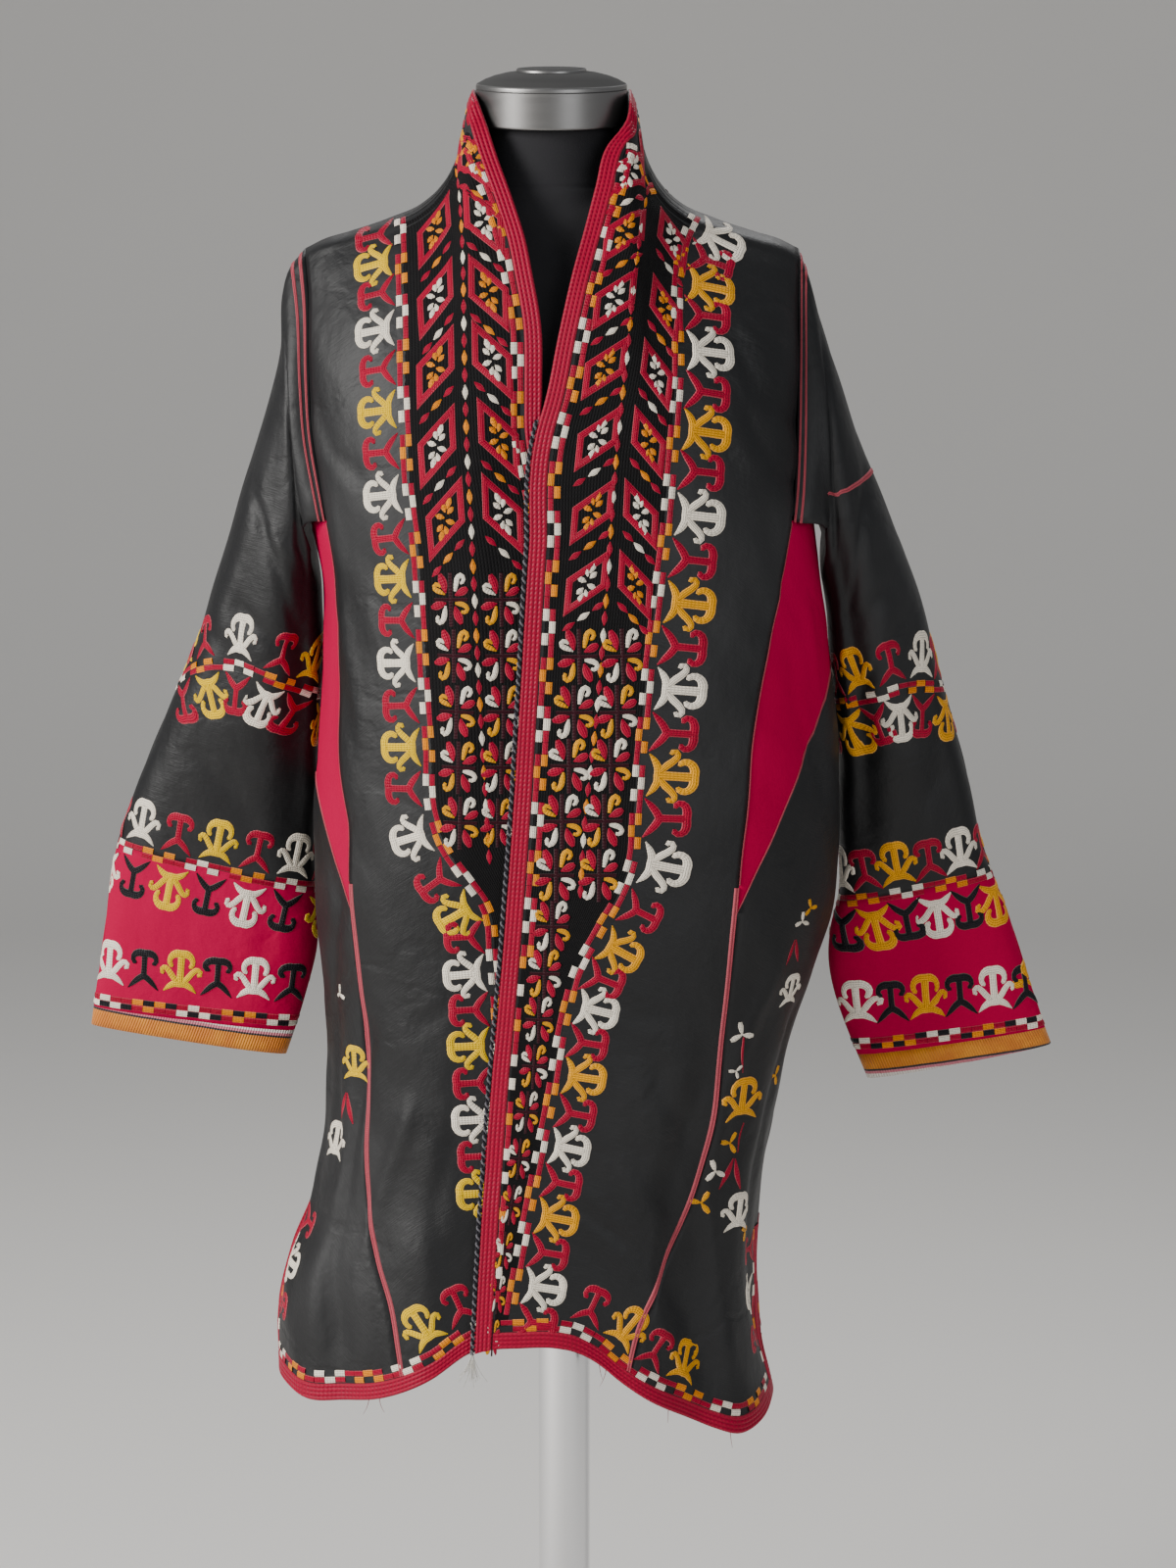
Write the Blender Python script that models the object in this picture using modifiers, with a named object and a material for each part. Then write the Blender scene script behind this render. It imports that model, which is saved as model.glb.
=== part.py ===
"""Open-fronted silk robe on a limbless dress form, as construction solids.

Metres, +Z up, +X to the onlooker's right, and the robe's front faces -Y. The origin is the middle
of the base plate's underside. Left and right in the names are the wearer's.
"""
import math

import bmesh
import bpy
import numpy as np

# ---------------------------------------------------------------- driving sizes
CLOTH = 0.0015          # wall of the silk panels
RIDGE_GAP = 0.0009      # front and back stand this far apart along the shoulder line
TRIM = 0.0011           # thickness of braids and tapes
SEAM_GAP = 0.0004       # pieces stand this far apart at a seam
LIFT = 0.0003           # a trim lies this far above its panel
BRAID_WIDE = 0.0135
TAPE_WIDE = 0.005
CORD_RADIUS = 0.0017
CORD_TOP = 1.23         # the edge cord starts at this level
COLLAR_BRAID = 0.156    # share of the collar's height under its braid
CUFF_TRIM_WIDE = 0.015

TOP_LEVEL = 1.386       # level of the shoulder line
HEM_LEVEL = 0.445       # level of the hem
ARMHOLE_FOOT = 1.165    # level where armhole and gusset meet
GUSSET_TIP = 0.862      # level of the gussets' lower tips
GORE_CREST_LEFT = 1.050  # level where each gore ends at the side, between the gusset's legs
GORE_CREST_RIGHT = 0.960
SEAM_ANGLE = 0.12       # half a seam gap, as an angle on the body
GORE_GAP = 0.0012       # the same seam gap, measured in level along the steep gusset seam
GUSSET_DROP = 0.0007    # the gusset's upper edge hangs this far below the armhole
SLIT_TOP = 0.592        # level where the side slits start
NECK_OUT = 0.100        # half width of the neckline where the collar is set in
COLLAR_OUT = 0.061      # half width of the collar's upper edge
COLLAR_DEEP = 0.071     # how far back the collar's upper edge stands
BACK_NECK_DROP = 0.046  # how much lower the back neckline runs in the middle
ROBE_X = -0.009         # the neck stands this far from the pole's axis
ROBE_Y = 0.004
SECTION_POWER = 2.3     # 2 is an ellipse, more is boxier
TUCK_DEEP = 0.0065      # the lower front lies this far under the upper one

POLE_RADIUS = 0.021
BASE_RADIUS = 0.185
BASE_THICK = 0.012
TORSO_FOOT = 0.822
CAP_RADIUS = 0.059
CAP_TALL = 0.0315
CAP_TILT = math.radians(9)
CAP_FOOT = (ROBE_X, -0.006, 1.4715)


def table(text):
    """Rows of numbers under named columns."""
    lines = [line.split() for line in text.strip().splitlines()]
    return {name: np.array([float(row[i]) for row in lines[1:]]) for i, name in enumerate(lines[0])}


# Sections of the hanging body: left and right silhouette, reach to the front and to the back.
BODY = table("""
level  mid     left    right  front   back
1.386  -0.009  -0.212  0.194  0.0004  0.0004
1.382  -0.009  -0.212  0.194  0.030   0.028
1.370  -0.009  -0.212  0.194  0.052   0.047
1.350  -0.009  -0.212  0.194  0.069   0.064
1.320  -0.009  -0.212  0.194  0.091   0.085
1.280  -0.009  -0.212  0.194  0.111   0.103
1.235  -0.009  -0.209  0.195  0.124   0.115
1.180  -0.009  -0.203  0.198  0.130   0.120
1.110  -0.010  -0.192  0.206  0.131   0.116
1.050  -0.010  -0.192  0.214  0.130   0.113
0.980  -0.010  -0.197  0.220  0.128   0.112
0.900  -0.010  -0.201  0.221  0.126   0.114
0.850  -0.010  -0.199  0.216  0.125   0.116
0.800  -0.011  -0.195  0.201  0.124   0.117
0.765  -0.012  -0.190  0.188  0.124   0.118
0.700  -0.015  -0.190  0.174  0.124   0.118
0.640  -0.018  -0.196  0.161  0.125   0.118
0.590  -0.021  -0.207  0.156  0.127   0.119
0.550  -0.024  -0.222  0.155  0.129   0.120
0.500  -0.027  -0.232  0.160  0.132   0.121
0.445  -0.030  -0.234  0.171  0.135   0.122
""")

# Height of the shoulder line and of the standing collar's side, by distance from the neck's middle.
RIDGE = table("""
out     high
0.061   1.500
0.066   1.487
0.070   1.470
0.0725  1.455
0.078   1.440
0.088   1.4245
0.100   1.4135
0.127   1.401
0.160   1.390
0.180   1.384
0.194   1.377
0.206   1.372
""")

# How much of the shoulder line's rise is left at each level below it.
RISE_LEFT = table("""
level  share
1.386  1.00
1.370  0.90
1.350  0.78
1.320  0.57
1.300  0.47
1.280  0.36
1.250  0.20
1.220  0.07
1.200  0.00
""")

# Height of the hem by place across: it arches up at the front edges and hangs low at the gores.
HEM_FRONT = table("""
x       high
-0.234  0.474
-0.200  0.468
-0.178  0.4705
-0.150  0.476
-0.104  0.497
-0.072  0.518
-0.031  0.5235
-0.006  0.523
0.010   0.519
0.027   0.509
0.044   0.494
0.061   0.481
0.094   0.461
0.121   0.446
0.145   0.439
0.160   0.443
0.171   0.450
""")
HEM_BACK = table("""
x       high
-0.234  0.478
-0.150  0.464
0.000   0.470
0.100   0.460
0.171   0.450
""")
HEM_RISE_STARTS = 0.80

# Largest folds. On the body: angle at the hem, its change per metre up, where the fold fades out
# above and over what length, half width in degrees, and how far it stands out (+) or sinks (-).
BODY_FOLDS = table("""
angle  lean   top   reach  width  deep
-64    -10    0.84  0.30   13     0.011
-41    -30    0.74  0.24   9     -0.007
-20    0      0.66  0.20   9      0.004
16     -20    0.70  0.24   10    -0.005
40     10     0.82  0.28   11    -0.010
63     20     0.90  0.32   12     0.012
118    -20    0.86  0.34   13     0.009
146    0      0.80  0.30   12    -0.009
174    10     0.88  0.36   13     0.007
204    20     0.78  0.28   12    -0.008
238    10     0.88  0.34   14     0.009
""")

# On the sleeves: place around at the armhole, its change per metre, start, length, half width, depth.
SLEEVE_FOLDS = table("""
side  around  lean   start  length  width  deep
1     0.300   0.10   0.08   0.44    0.045  -0.011
1     0.180  -0.05   0.12   0.44    0.050  -0.006
1     0.700   0.05   0.05   0.40    0.050  -0.008
-1    0.330   0.12   0.09   0.44    0.045  -0.011
-1    0.210  -0.05   0.10   0.34    0.050  -0.006
-1    0.680  -0.04   0.06   0.44    0.050  -0.009
""")

# Free edges of the two fronts. The wearer's left front lies on top, the right one tucks under it.
EDGE_LEFT = table("""
level  x
1.386  0.0520
1.368  0.0477
1.357  0.0338
1.340  0.0255
1.321  0.0165
1.302  0.0084
1.272  -0.0027
1.240  -0.0130
1.226  -0.0190
1.146  -0.0255
1.040  -0.0320
0.930  -0.0390
0.815  -0.0480
0.738  -0.0545
0.620  -0.0610
0.445  -0.0690
""")
EDGE_RIGHT = table("""
level  x
1.386  -0.0700
1.367  -0.0580
1.351  -0.0490
1.332  -0.0365
1.320  -0.0296
1.300  -0.0227
1.276  -0.0160
1.245  -0.0152
1.226  -0.0150
1.190  -0.0070
1.146  0.0020
0.930  0.0120
0.738  0.0180
0.445  0.0220
""")

# Armhole, then gusset seam, then gore seam, at the side of each front and of the back.
SEAM_LEFT = table("""
level  x
1.386  0.1850
1.280  0.1830
1.235  0.1820
1.180  0.1790
1.160  0.1765
1.110  0.1690
1.075  0.1605
1.036  0.1530
1.000  0.1470
0.960  0.1440
0.905  0.1386
0.863  0.1350
0.776  0.1270
0.681  0.1160
0.625  0.1010
0.565  0.0812
0.490  0.0582
0.445  0.0500
""")
SEAM_RIGHT = table("""
level  x
1.386  -0.2030
1.340  -0.1985
1.280  -0.1970
1.235  -0.1950
1.180  -0.1860
1.155  -0.1815
1.120  -0.1780
1.043  -0.1750
0.966  -0.1740
0.920  -0.1680
0.865  -0.1665
0.796  -0.1600
0.732  -0.1560
0.660  -0.1565
0.610  -0.1536
0.565  -0.1477
0.520  -0.1364
0.480  -0.1304
0.445  -0.1260
""")

# Sleeve sections: outer and inner edge seen from the front, middle depth and half thickness.
SLEEVE_RIGHT = table("""
along  outer_x  outer_z  inner_x  inner_z  y      half
0.000  -0.2035  1.3825   -0.2010  1.1655   0.004  0.052
0.020  -0.2160  1.3660   -0.2060  1.1630   0.005  0.054
0.040  -0.2210  1.3480   -0.2075  1.1540   0.007  0.056
0.090  -0.2235  1.2970   -0.2060  1.1300   0.010  0.058
0.165  -0.2450  1.2235   -0.2060  1.1000   0.016  0.060
0.225  -0.2630  1.1685   -0.2060  1.0680   0.022  0.061
0.283  -0.2810  1.1135   -0.2060  1.0300   0.030  0.060
0.324  -0.2940  1.0750   -0.2065  1.0000   0.036  0.057
0.358  -0.3070  1.0430   -0.2070  0.9750   0.040  0.053
0.420  -0.3325  0.9860   -0.2075  0.9300   0.046  0.045
0.464  -0.3495  0.9455   -0.2075  0.8950   0.050  0.039
0.516  -0.3665  0.8965   -0.2070  0.8600   0.052  0.033
0.599  -0.3800  0.8150   -0.2060  0.7980   0.053  0.024
0.640  -0.3862  0.7750   -0.2170  0.7580   0.053  0.018
0.669  -0.3910  0.7455   -0.2302  0.7206   0.052  0.014
""")
SLEEVE_LEFT = table("""
along  outer_x  outer_z  inner_x  inner_z  y      half
0.000  0.1870   1.3745   0.2000   1.1655   0.004  0.051
0.020  0.1935   1.3560   0.2085   1.1620   0.002  0.051
0.055  0.2030   1.3210   0.2135   1.1500   0.004  0.053
0.100  0.2170   1.2780   0.2170   1.1250   0.009  0.056
0.146  0.2323   1.2345   0.2195   1.1050   0.016  0.060
0.182  0.2462   1.2017   0.2210   1.0850   0.020  0.061
0.218  0.2603   1.1687   0.2225   1.0620   0.024  0.061
0.254  0.2745   1.1355   0.2235   1.0370   0.028  0.060
0.301  0.2906   1.0908   0.2250   1.0050   0.034  0.057
0.359  0.3063   1.0346   0.2265   0.9650   0.040  0.051
0.435  0.3277   0.9619   0.2275   0.9150   0.046  0.043
0.511  0.3454   0.8885   0.2265   0.8600   0.050  0.034
0.563  0.3647   0.8396   0.2190   0.8240   0.052  0.028
0.623  0.3834   0.7823   0.2217   0.7741   0.053  0.019
0.680  0.4021   0.7289   0.2508   0.7000   0.052  0.014
""")
SLEEVE_SET_IN = 0.10    # the armhole's shape fades into the sleeve's own over this length
CUFF_FROM_HAND = 0.154  # the crimson cuff panel's length

# Dress form: half width, reach to front and back, lean of the section plane in degrees.
TORSO = table("""
high   half   front  back   y       lean
1.4705 0.049  0.049  0.049  -0.006  9.0
1.450  0.050  0.050  0.050  -0.004  7.0
1.430  0.052  0.053  0.051  -0.001  4.0
1.416  0.060  0.058  0.054  0.002   2.0
1.404  0.078  0.060  0.056  0.004   0.0
1.394  0.098  0.060  0.056  0.004   0.0
1.382  0.128  0.059  0.055  0.004   0.0
1.370  0.150  0.060  0.056  0.004   0.0
1.355  0.166  0.066  0.061  0.004   0.0
1.330  0.175  0.080  0.073  0.004   0.0
1.290  0.177  0.098  0.088  0.004   0.0
1.240  0.172  0.113  0.100  0.004   0.0
1.190  0.163  0.118  0.102  0.004   0.0
1.140  0.151  0.112  0.097  0.004   0.0
1.090  0.141  0.103  0.091  0.004   0.0
1.050  0.137  0.099  0.089  0.004   0.0
1.000  0.142  0.100  0.092  0.004   0.0
0.940  0.153  0.104  0.099  0.004   0.0
0.890  0.158  0.106  0.103  0.004   0.0
0.850  0.154  0.102  0.101  0.004   0.0
0.830  0.143  0.092  0.092  0.004   0.0
0.822  0.128  0.080  0.080  0.004   0.0
""")

# Rows of points shared by all the body's panels, and how many of them lie along the armhole.
LEVELS = np.array([1.386, 1.381, 1.371, 1.356, 1.335, 1.305, 1.265, 1.215, 1.165, 1.130, 1.085,
                   1.036, 0.980, 0.920, 0.862, 0.800, 0.740, 0.680, 0.635, 0.592, 0.550, 0.505,
                   HEM_LEVEL + BRAID_WIDE, HEM_LEVEL])
ARMHOLE_ROWS = 9
FRONT_COLUMNS = 8
SHOULDER_COLUMNS = 3
NECK_COLUMNS = 10
GORE_COLUMNS = 4
SLEEVE_SIDES = 24
TORSO_SIDES = 22


# ---------------------------------------------------------------- reading the tables
def read(rows, key, column, at):
    """A smooth curve through one column, by the key column."""
    knots, values = rows[key], rows[column]
    if knots[0] > knots[-1]:
        knots, values = knots[::-1], values[::-1]
    at = np.clip(np.asarray(at, float), knots[0], knots[-1])
    steps = np.diff(values) / np.diff(knots)
    before, after = np.diff(knots)[:-1], np.diff(knots)[1:]
    slopes = np.concatenate([steps[:1], (steps[:-1] * after + steps[1:] * before) / (before + after),
                             steps[-1:]])
    i = np.clip(np.searchsorted(knots, at, side="right") - 1, 0, len(knots) - 2)
    span = knots[i + 1] - knots[i]
    t = (at - knots[i]) / span
    return (values[i] * (1 + 2 * t) * (1 - t) ** 2 + values[i + 1] * t * t * (3 - 2 * t)
            + slopes[i] * span * t * (1 - t) ** 2 - slopes[i + 1] * span * t * t * (1 - t))


def ease(t):
    """0 below 0, 1 above 1, smooth between."""
    t = np.clip(t, 0, 1)
    return t * t * (3 - 2 * t)


def rounded(angle):
    """Across and forward shares of a rounded-box section at an angle in degrees."""
    turn = np.radians(angle)
    s, c = np.sin(turn), np.cos(turn)
    return (np.sign(s) * np.abs(s) ** (2 / SECTION_POWER),
            np.sign(c) * np.abs(c) ** (2 / SECTION_POWER))


def rows_of(rows):
    """The rows of a table, one dictionary each."""
    return [dict(zip(rows, values)) for values in zip(*rows.values())]


def hump(at, middle, width, whole):
    """A soft rise of 1 at the middle, on a scale that closes on itself after the whole."""
    gap = (at - middle + whole / 2) % whole - whole / 2
    return np.exp(-(gap / width) ** 2)


# ---------------------------------------------------------------- the body's cloth
def body_folds(angle, level):
    """How far the folds move the cloth out."""
    out = 0.0 * level
    for fold in rows_of(BODY_FOLDS):
        line = fold["angle"] + fold["lean"] * (level - HEM_LEVEL)
        out = out + (fold["deep"] * hump(angle, line, fold["width"], 360)
                     * ease((fold["top"] - level) / fold["reach"]))
    return out


def body(angle, level):
    """Outer face of the body. The angle runs from the front middle (0) by +X (90) to the back."""
    across, forward = rounded(angle)
    mid = read(BODY, "level", "mid", level)
    half = np.where(across < 0, mid - read(BODY, "level", "left", level),
                    read(BODY, "level", "right", level) - mid)
    deep = np.where(forward > 0, read(BODY, "level", "front", level),
                    read(BODY, "level", "back", level)) + body_folds(angle, level)
    x = mid + half * across
    parted = np.sign(forward) * RIDGE_GAP / 2 * ease((level - 1.33) / 0.04)
    y = ROBE_Y - deep * forward - parted
    out = np.abs(x - ROBE_X)
    rise = read(RIDGE, "out", "high", out) - TOP_LEVEL
    neck_rise = read(RIDGE, "out", "high", NECK_OUT) - TOP_LEVEL
    back_rise = neck_rise + 0.071 * ease((NECK_OUT - out) / NECK_OUT)
    rise = np.where((forward < 0) & (out < NECK_OUT), back_rise, rise)
    hem = np.where(forward > 0, read(HEM_FRONT, "x", "high", x), read(HEM_BACK, "x", "high", x))
    hem = (hem - HEM_LEVEL) * ease((HEM_RISE_STARTS - level) / (HEM_RISE_STARTS - HEM_LEVEL))
    return np.stack([x, y, level + rise * read(RISE_LEFT, "level", "share", level) + hem], -1)


def front_angle(x, level):
    """Angle at which the front of the body has this x."""
    mid = read(BODY, "level", "mid", level)
    half = np.where(x < mid, mid - read(BODY, "level", "left", level),
                    read(BODY, "level", "right", level) - mid)
    share = np.clip(np.abs(x - mid) / half, 0, 1)
    return np.sign(x - mid) * np.degrees(np.arcsin(share ** (SECTION_POWER / 2)))


def tucked(angle, level):
    """The body's front where it runs under the wearer's left front."""
    point = body(angle, level)
    cover = point[..., 0] - read(EDGE_LEFT, "level", "x", level)
    deep = TUCK_DEEP * ease((cover + 0.045) / 0.04) * ease((1.275 - level) / 0.045)
    return point + np.stack([0 * deep, deep, 0 * deep], -1)


def side_seam(side, level, behind=False):
    """Angle of the armhole, gusset and gore seam. Side is +1 for the wearer's left."""
    seam = SEAM_LEFT if side > 0 else SEAM_RIGHT
    angle = front_angle(read(seam, "level", "x", level), level)
    return side * 180 - angle if behind else angle


def neckline(x):
    """Level at which the back ends at its top, lower across the neck."""
    share = np.clip(np.abs(x - ROBE_X) / NECK_OUT, 0, 1)
    return TOP_LEVEL - BACK_NECK_DROP * (1 - share ** 2)


def crest_of(side):
    return GORE_CREST_LEFT if side > 0 else GORE_CREST_RIGHT


def collar(angle, up):
    """Outer face of the standing collar. The angle runs as on the body; up is 0 at the neckline."""
    across, forward = rounded(angle)
    x = ROBE_X + NECK_OUT * across
    level = neckline(x)
    foot = body(180 - front_angle(x, level), level)
    side_foot, crest = read(RIDGE, "out", "high", NECK_OUT), read(RIDGE, "out", "high", COLLAR_OUT)
    out = read(RIDGE, "high", "out", side_foot + (crest - side_foot) * up)
    share = (NECK_OUT - out) / (NECK_OUT - COLLAR_OUT)
    edge_x = ROBE_X + COLLAR_OUT * across
    edge_y = ROBE_Y - COLLAR_DEEP * forward
    return np.stack([foot[..., 0] + (edge_x - foot[..., 0]) * share,
                     foot[..., 1] + (edge_y - foot[..., 1]) * share,
                     foot[..., 2] + (crest - foot[..., 2]) * up], -1)


# ---------------------------------------------------------------- the sleeves
def armhole_spot(side, around):
    """Body angle and level of the armhole seam: around is 0 on the shoulder, 0.5 under the arm."""
    around = np.mod(np.asarray(around, float), 1)
    behind = around > 0.5
    row = np.where(behind, 1 - around, around) * SLEEVE_SIDES
    level = np.interp(row, np.arange(ARMHOLE_ROWS), LEVELS[:ARMHOLE_ROWS])
    under = np.clip((row - ARMHOLE_ROWS + 1) / (SLEEVE_SIDES / 2 - ARMHOLE_ROWS + 1), 0, 1)
    seam = side_seam(side, level)
    angle = seam + (side * 90 - seam) * under
    return np.where(behind, side * 180 - angle, angle), level


def sleeve_ring(rows, around, along):
    """A sleeve's own section, without the pull of the armhole."""
    forward, outward = rounded(np.asarray(around, float) * 360)
    get = {name: read(rows, "along", name, along) for name in rows}
    outer = np.stack([get["outer_x"], get["y"], get["outer_z"]], -1)
    inner = np.stack([get["inner_x"], get["y"], get["inner_z"]], -1)
    ring = (outer + inner) / 2 + (outer - inner) / 2 * outward[..., None]
    ring[..., 1] -= (get["half"] + sleeve_folds(rows is SLEEVE_LEFT, around, along)) * forward
    return ring


def sleeve_folds(left, around, along):
    """How far the folds move a sleeve's cloth out."""
    out = 0.0 * along
    for fold in rows_of(SLEEVE_FOLDS):
        line = fold["around"] + fold["lean"] * along
        down = np.clip((along - fold["start"]) / fold["length"], 0, 1)
        if (fold["side"] > 0) == left:
            out = out + fold["deep"] * hump(around, line, fold["width"], 1) * np.sin(np.pi * down)
    return out


def sleeve(side, around, along):
    """Outer face of a sleeve. Along is the length from the armhole, on the outer edge."""
    rows = SLEEVE_LEFT if side > 0 else SLEEVE_RIGHT
    along = np.asarray(along, float)
    pull = body(*armhole_spot(side, around)) - sleeve_ring(rows, around, 0 * along)
    pull[..., 0] += side * SEAM_GAP
    return sleeve_ring(rows, around, along) + pull * ease(1 - along / SLEEVE_SET_IN)[..., None]


# ---------------------------------------------------------------- making walls
def unit(vectors):
    return vectors / np.linalg.norm(vectors, axis=-1, keepdims=True)


def normals(shape, u, v, du, dv):
    """Unit normals of a surface given as a function of two arrays."""
    side = shape(u + du, v) - shape(u - du, v)
    down = shape(u, v + dv) - shape(u, v - dv)
    return unit(np.cross(side, down))


def body_normals(angle, level):
    """Outward normals of the body. Along the shoulder line they have no lean to either side."""
    facing = normals(body, angle, level, 0.4, 0.0012)
    facing[..., 1] = np.where(level > TOP_LEVEL - 1e-6, 0, facing[..., 1])
    return unit(facing)


def sleeve_normals(side, around, along):
    """Outward normals of a sleeve, shared evenly between the faces that meet at a corner."""
    before, here, after = (sleeve(side, around + turn / SLEEVE_SIDES, along) for turn in (-1, 0, 1))
    down = sleeve(side, around, along + 0.001) - sleeve(side, around, along - 0.001)
    return unit(unit(np.cross(after - here, down)) + unit(np.cross(here - before, down))) * side


def armhole_facing(side, around):
    """Direction of both walls along the armhole seam, halfway between body and sleeve."""
    return unit(body_normals(*armhole_spot(side, around)) + sleeve_normals(side, around, 0 * around))


def make_material(name, colour, rough, metal=0.0):
    material = bpy.data.materials.new(name)
    material.use_nodes = True
    shader = material.node_tree.nodes["Principled BSDF"]
    shader.inputs["Base Color"].default_value = (*colour, 1)
    shader.inputs["Roughness"].default_value = rough
    shader.inputs["Metallic"].default_value = metal
    return material


def wall(name, near, far, material):
    """A closed wall between two grids of points, near and far, of rows by columns."""
    rows, columns = near.shape[:2]
    bm = bmesh.new()
    spot = bm.verts.layers.int.new("spot")
    bmesh.ops.create_grid(bm, x_segments=columns - 1, y_segments=rows - 1, size=1)
    for vert in bm.verts:
        column = round((vert.co.x + 1) / 2 * (columns - 1))
        row = round((vert.co.y + 1) / 2 * (rows - 1))
        vert[spot] = row * columns + column
    near_points, far_points = near.reshape(-1, 3), far.reshape(-1, 3)
    for vert in bm.verts:
        vert.co = near_points[vert[spot]]
    bmesh.ops.remove_doubles(bm, verts=bm.verts, dist=1e-6)
    bmesh.ops.triangulate(bm, faces=bm.faces, quad_method="SHORT_EDGE")
    made = bmesh.ops.extrude_face_region(bm, geom=bm.faces[:], use_keep_orig=True)
    for item in made["geom"]:
        if isinstance(item, bmesh.types.BMVert):
            item.co = far_points[item[spot]]
    bmesh.ops.recalc_face_normals(bm, faces=bm.faces)
    mesh = bpy.data.meshes.new(name)
    bm.to_mesh(mesh)
    bm.free()
    mesh.materials.append(material)
    mesh.shade_smooth()
    mesh.set_sharp_from_angle(angle=math.radians(50))
    piece = bpy.data.objects.new(name, mesh)
    PARTS.objects.link(piece)
    return piece


def panel(name, points, facing, material):
    """A cloth panel from its outer points and their normals."""
    return wall(name, points, points - facing * CLOTH, material)


def strip(name, points, facing, material):
    """A trim that lies on a panel, from the panel's own points and normals."""
    return wall(name, points + facing * LIFT, points + facing * (LIFT + TRIM), material)


def columns_by_length(shape, start, end, levels, inset):
    """Angles along each level's row at the given distances from its start, then even to its end."""
    samples = np.linspace(0, 1, 160)
    angle = start[:, None] + (end - start)[:, None] * samples
    points = shape(angle, np.broadcast_to(levels[:, None], angle.shape))
    steps = np.linalg.norm(np.diff(points, axis=1), axis=-1)
    length = np.concatenate([np.zeros((len(levels), 1)), np.cumsum(steps, axis=1)], axis=1)
    return np.stack([np.interp(inset(length[row, -1]), length[row], angle[row])
                     for row in range(len(levels))])


def between(a, b, share):
    return a + (b - a) * share


def grid_of(shape, angle, levels):
    """Points of a shape on a grid of angles by levels, with the body's normals."""
    level = np.broadcast_to(levels[:, None], angle.shape) if levels.ndim == 1 else levels
    return shape(angle, level), body_normals(angle, level)


def angle_of_share(share):
    """Front angle, 0 to 90, whose point lies at this share of the half width."""
    return np.degrees(np.arcsin(np.clip(share, 0, 1) ** (SECTION_POWER / 2)))


def gore_low_angles(side, behind):
    """Angles of a gore's points on the levels below the gusset's tip."""
    low = LEVELS[LEVELS <= GUSSET_TIP]

    def inset(length):
        return np.append(np.linspace(SEAM_GAP / 2, length - BRAID_WIDE, GORE_COLUMNS),
                         length - SEAM_GAP / 2)

    return columns_by_length(body, side_seam(side, low, behind), side * 90.0 + 0 * low, low, inset)


def gore_shares(side):
    """How far each of a gore's columns lies from the gusset's tip towards the side line."""
    near = np.abs(gore_low_angles(side, False)[0])
    tip = rounded(near[0])[0]
    return (rounded(near)[0] - tip) / (1 - tip), tip


def gore_grid(side, behind):
    """Angles and levels of a gore's points, from the gusset's edge down to the hem."""
    angle = gore_low_angles(side, behind)
    share, tip = gore_shares(side)
    near = angle_of_share(tip + (1 - tip) * share)
    upper = side * (180 - near) if behind else side * near
    rise = (crest_of(side) - GUSSET_TIP - GORE_GAP) * share
    levels = [GUSSET_TIP + rise * part for part in (1, 0.65, 0.3)]
    levels += [np.full(len(share), level) for level in LEVELS[LEVELS <= GUSSET_TIP]]
    return np.vstack([upper, upper, upper, angle]), np.vstack(levels)


def gusset_grid(side):
    """Angles and levels of a gusset's points, from the armhole down to the gores."""
    share, tip = gore_shares(side)
    share = np.concatenate([share, share[-2::-1]])
    sign = np.sign(np.arange(len(share)) - len(share) // 2)
    low = GUSSET_TIP + (crest_of(side) - GUSSET_TIP) * share
    near = angle_of_share(tip + (1 - tip) * share)
    foot = (90 - near) / (90 - np.abs(side_seam(side, low)))
    top = np.abs(np.linspace(-1, 1, len(share)))
    rows = LEVELS[(LEVELS <= ARMHOLE_FOOT) & (LEVELS >= GUSSET_TIP)]
    down = ((ARMHOLE_FOOT - rows) / (ARMHOLE_FOOT - GUSSET_TIP))[:, None]
    level = ARMHOLE_FOOT + (low - ARMHOLE_FOOT) * down
    part = top * (1 - down) + foot * down
    width = 90 - np.abs(side_seam(side, level))
    level[0] -= GUSSET_DROP
    level[-1] += GORE_GAP * (1.5 - share)
    return side * 90 + sign * part * (width - 0.15), level


def front_grid(side):
    """Angles of a front's points on every level, from its free edge to the side."""
    edge = EDGE_LEFT if side > 0 else EDGE_RIGHT
    start = front_angle(read(edge, "level", "x", LEVELS), LEVELS)

    def inset(length):
        middle = np.linspace(BRAID_WIDE, length - TAPE_WIDE, FRONT_COLUMNS)
        return np.concatenate([[0], middle, [length - SEAM_GAP / 2]])

    return columns_by_length(body, start, side_seam(side, LEVELS), LEVELS, inset)


def back_grid():
    """Angles and levels of the back's points, from the neckline down to the hem."""
    right, left = side_seam(-1, LEVELS, True) + 360, side_seam(1, LEVELS, True)
    half_neck = 90 - np.abs(90 - front_angle(ROBE_X + NECK_OUT, TOP_LEVEL))
    neck = np.linspace(180 - half_neck, 180 + half_neck, NECK_COLUMNS + 1)
    top = np.concatenate([np.linspace(left[0], neck[0], SHOULDER_COLUMNS + 1)[:-1], neck,
                          np.linspace(neck[-1], right[0], SHOULDER_COLUMNS + 1)[1:]])
    share = (top - top[0]) / (top[-1] - top[0])
    margin = np.where(share == 0, SEAM_ANGLE, np.where(share == 1, -SEAM_ANGLE, 0))
    angle = left[:, None] + (right - left)[:, None] * share + margin
    edge = neckline(body(angle[0], TOP_LEVEL + 0 * angle[0])[:, 0])
    yoke = LEVELS[ARMHOLE_ROWS - 2]
    part = ((LEVELS - yoke) / (TOP_LEVEL - yoke))[:, None]
    return angle, np.where(part > 0, yoke + (edge - yoke) * part, LEVELS[:, None])


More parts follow.
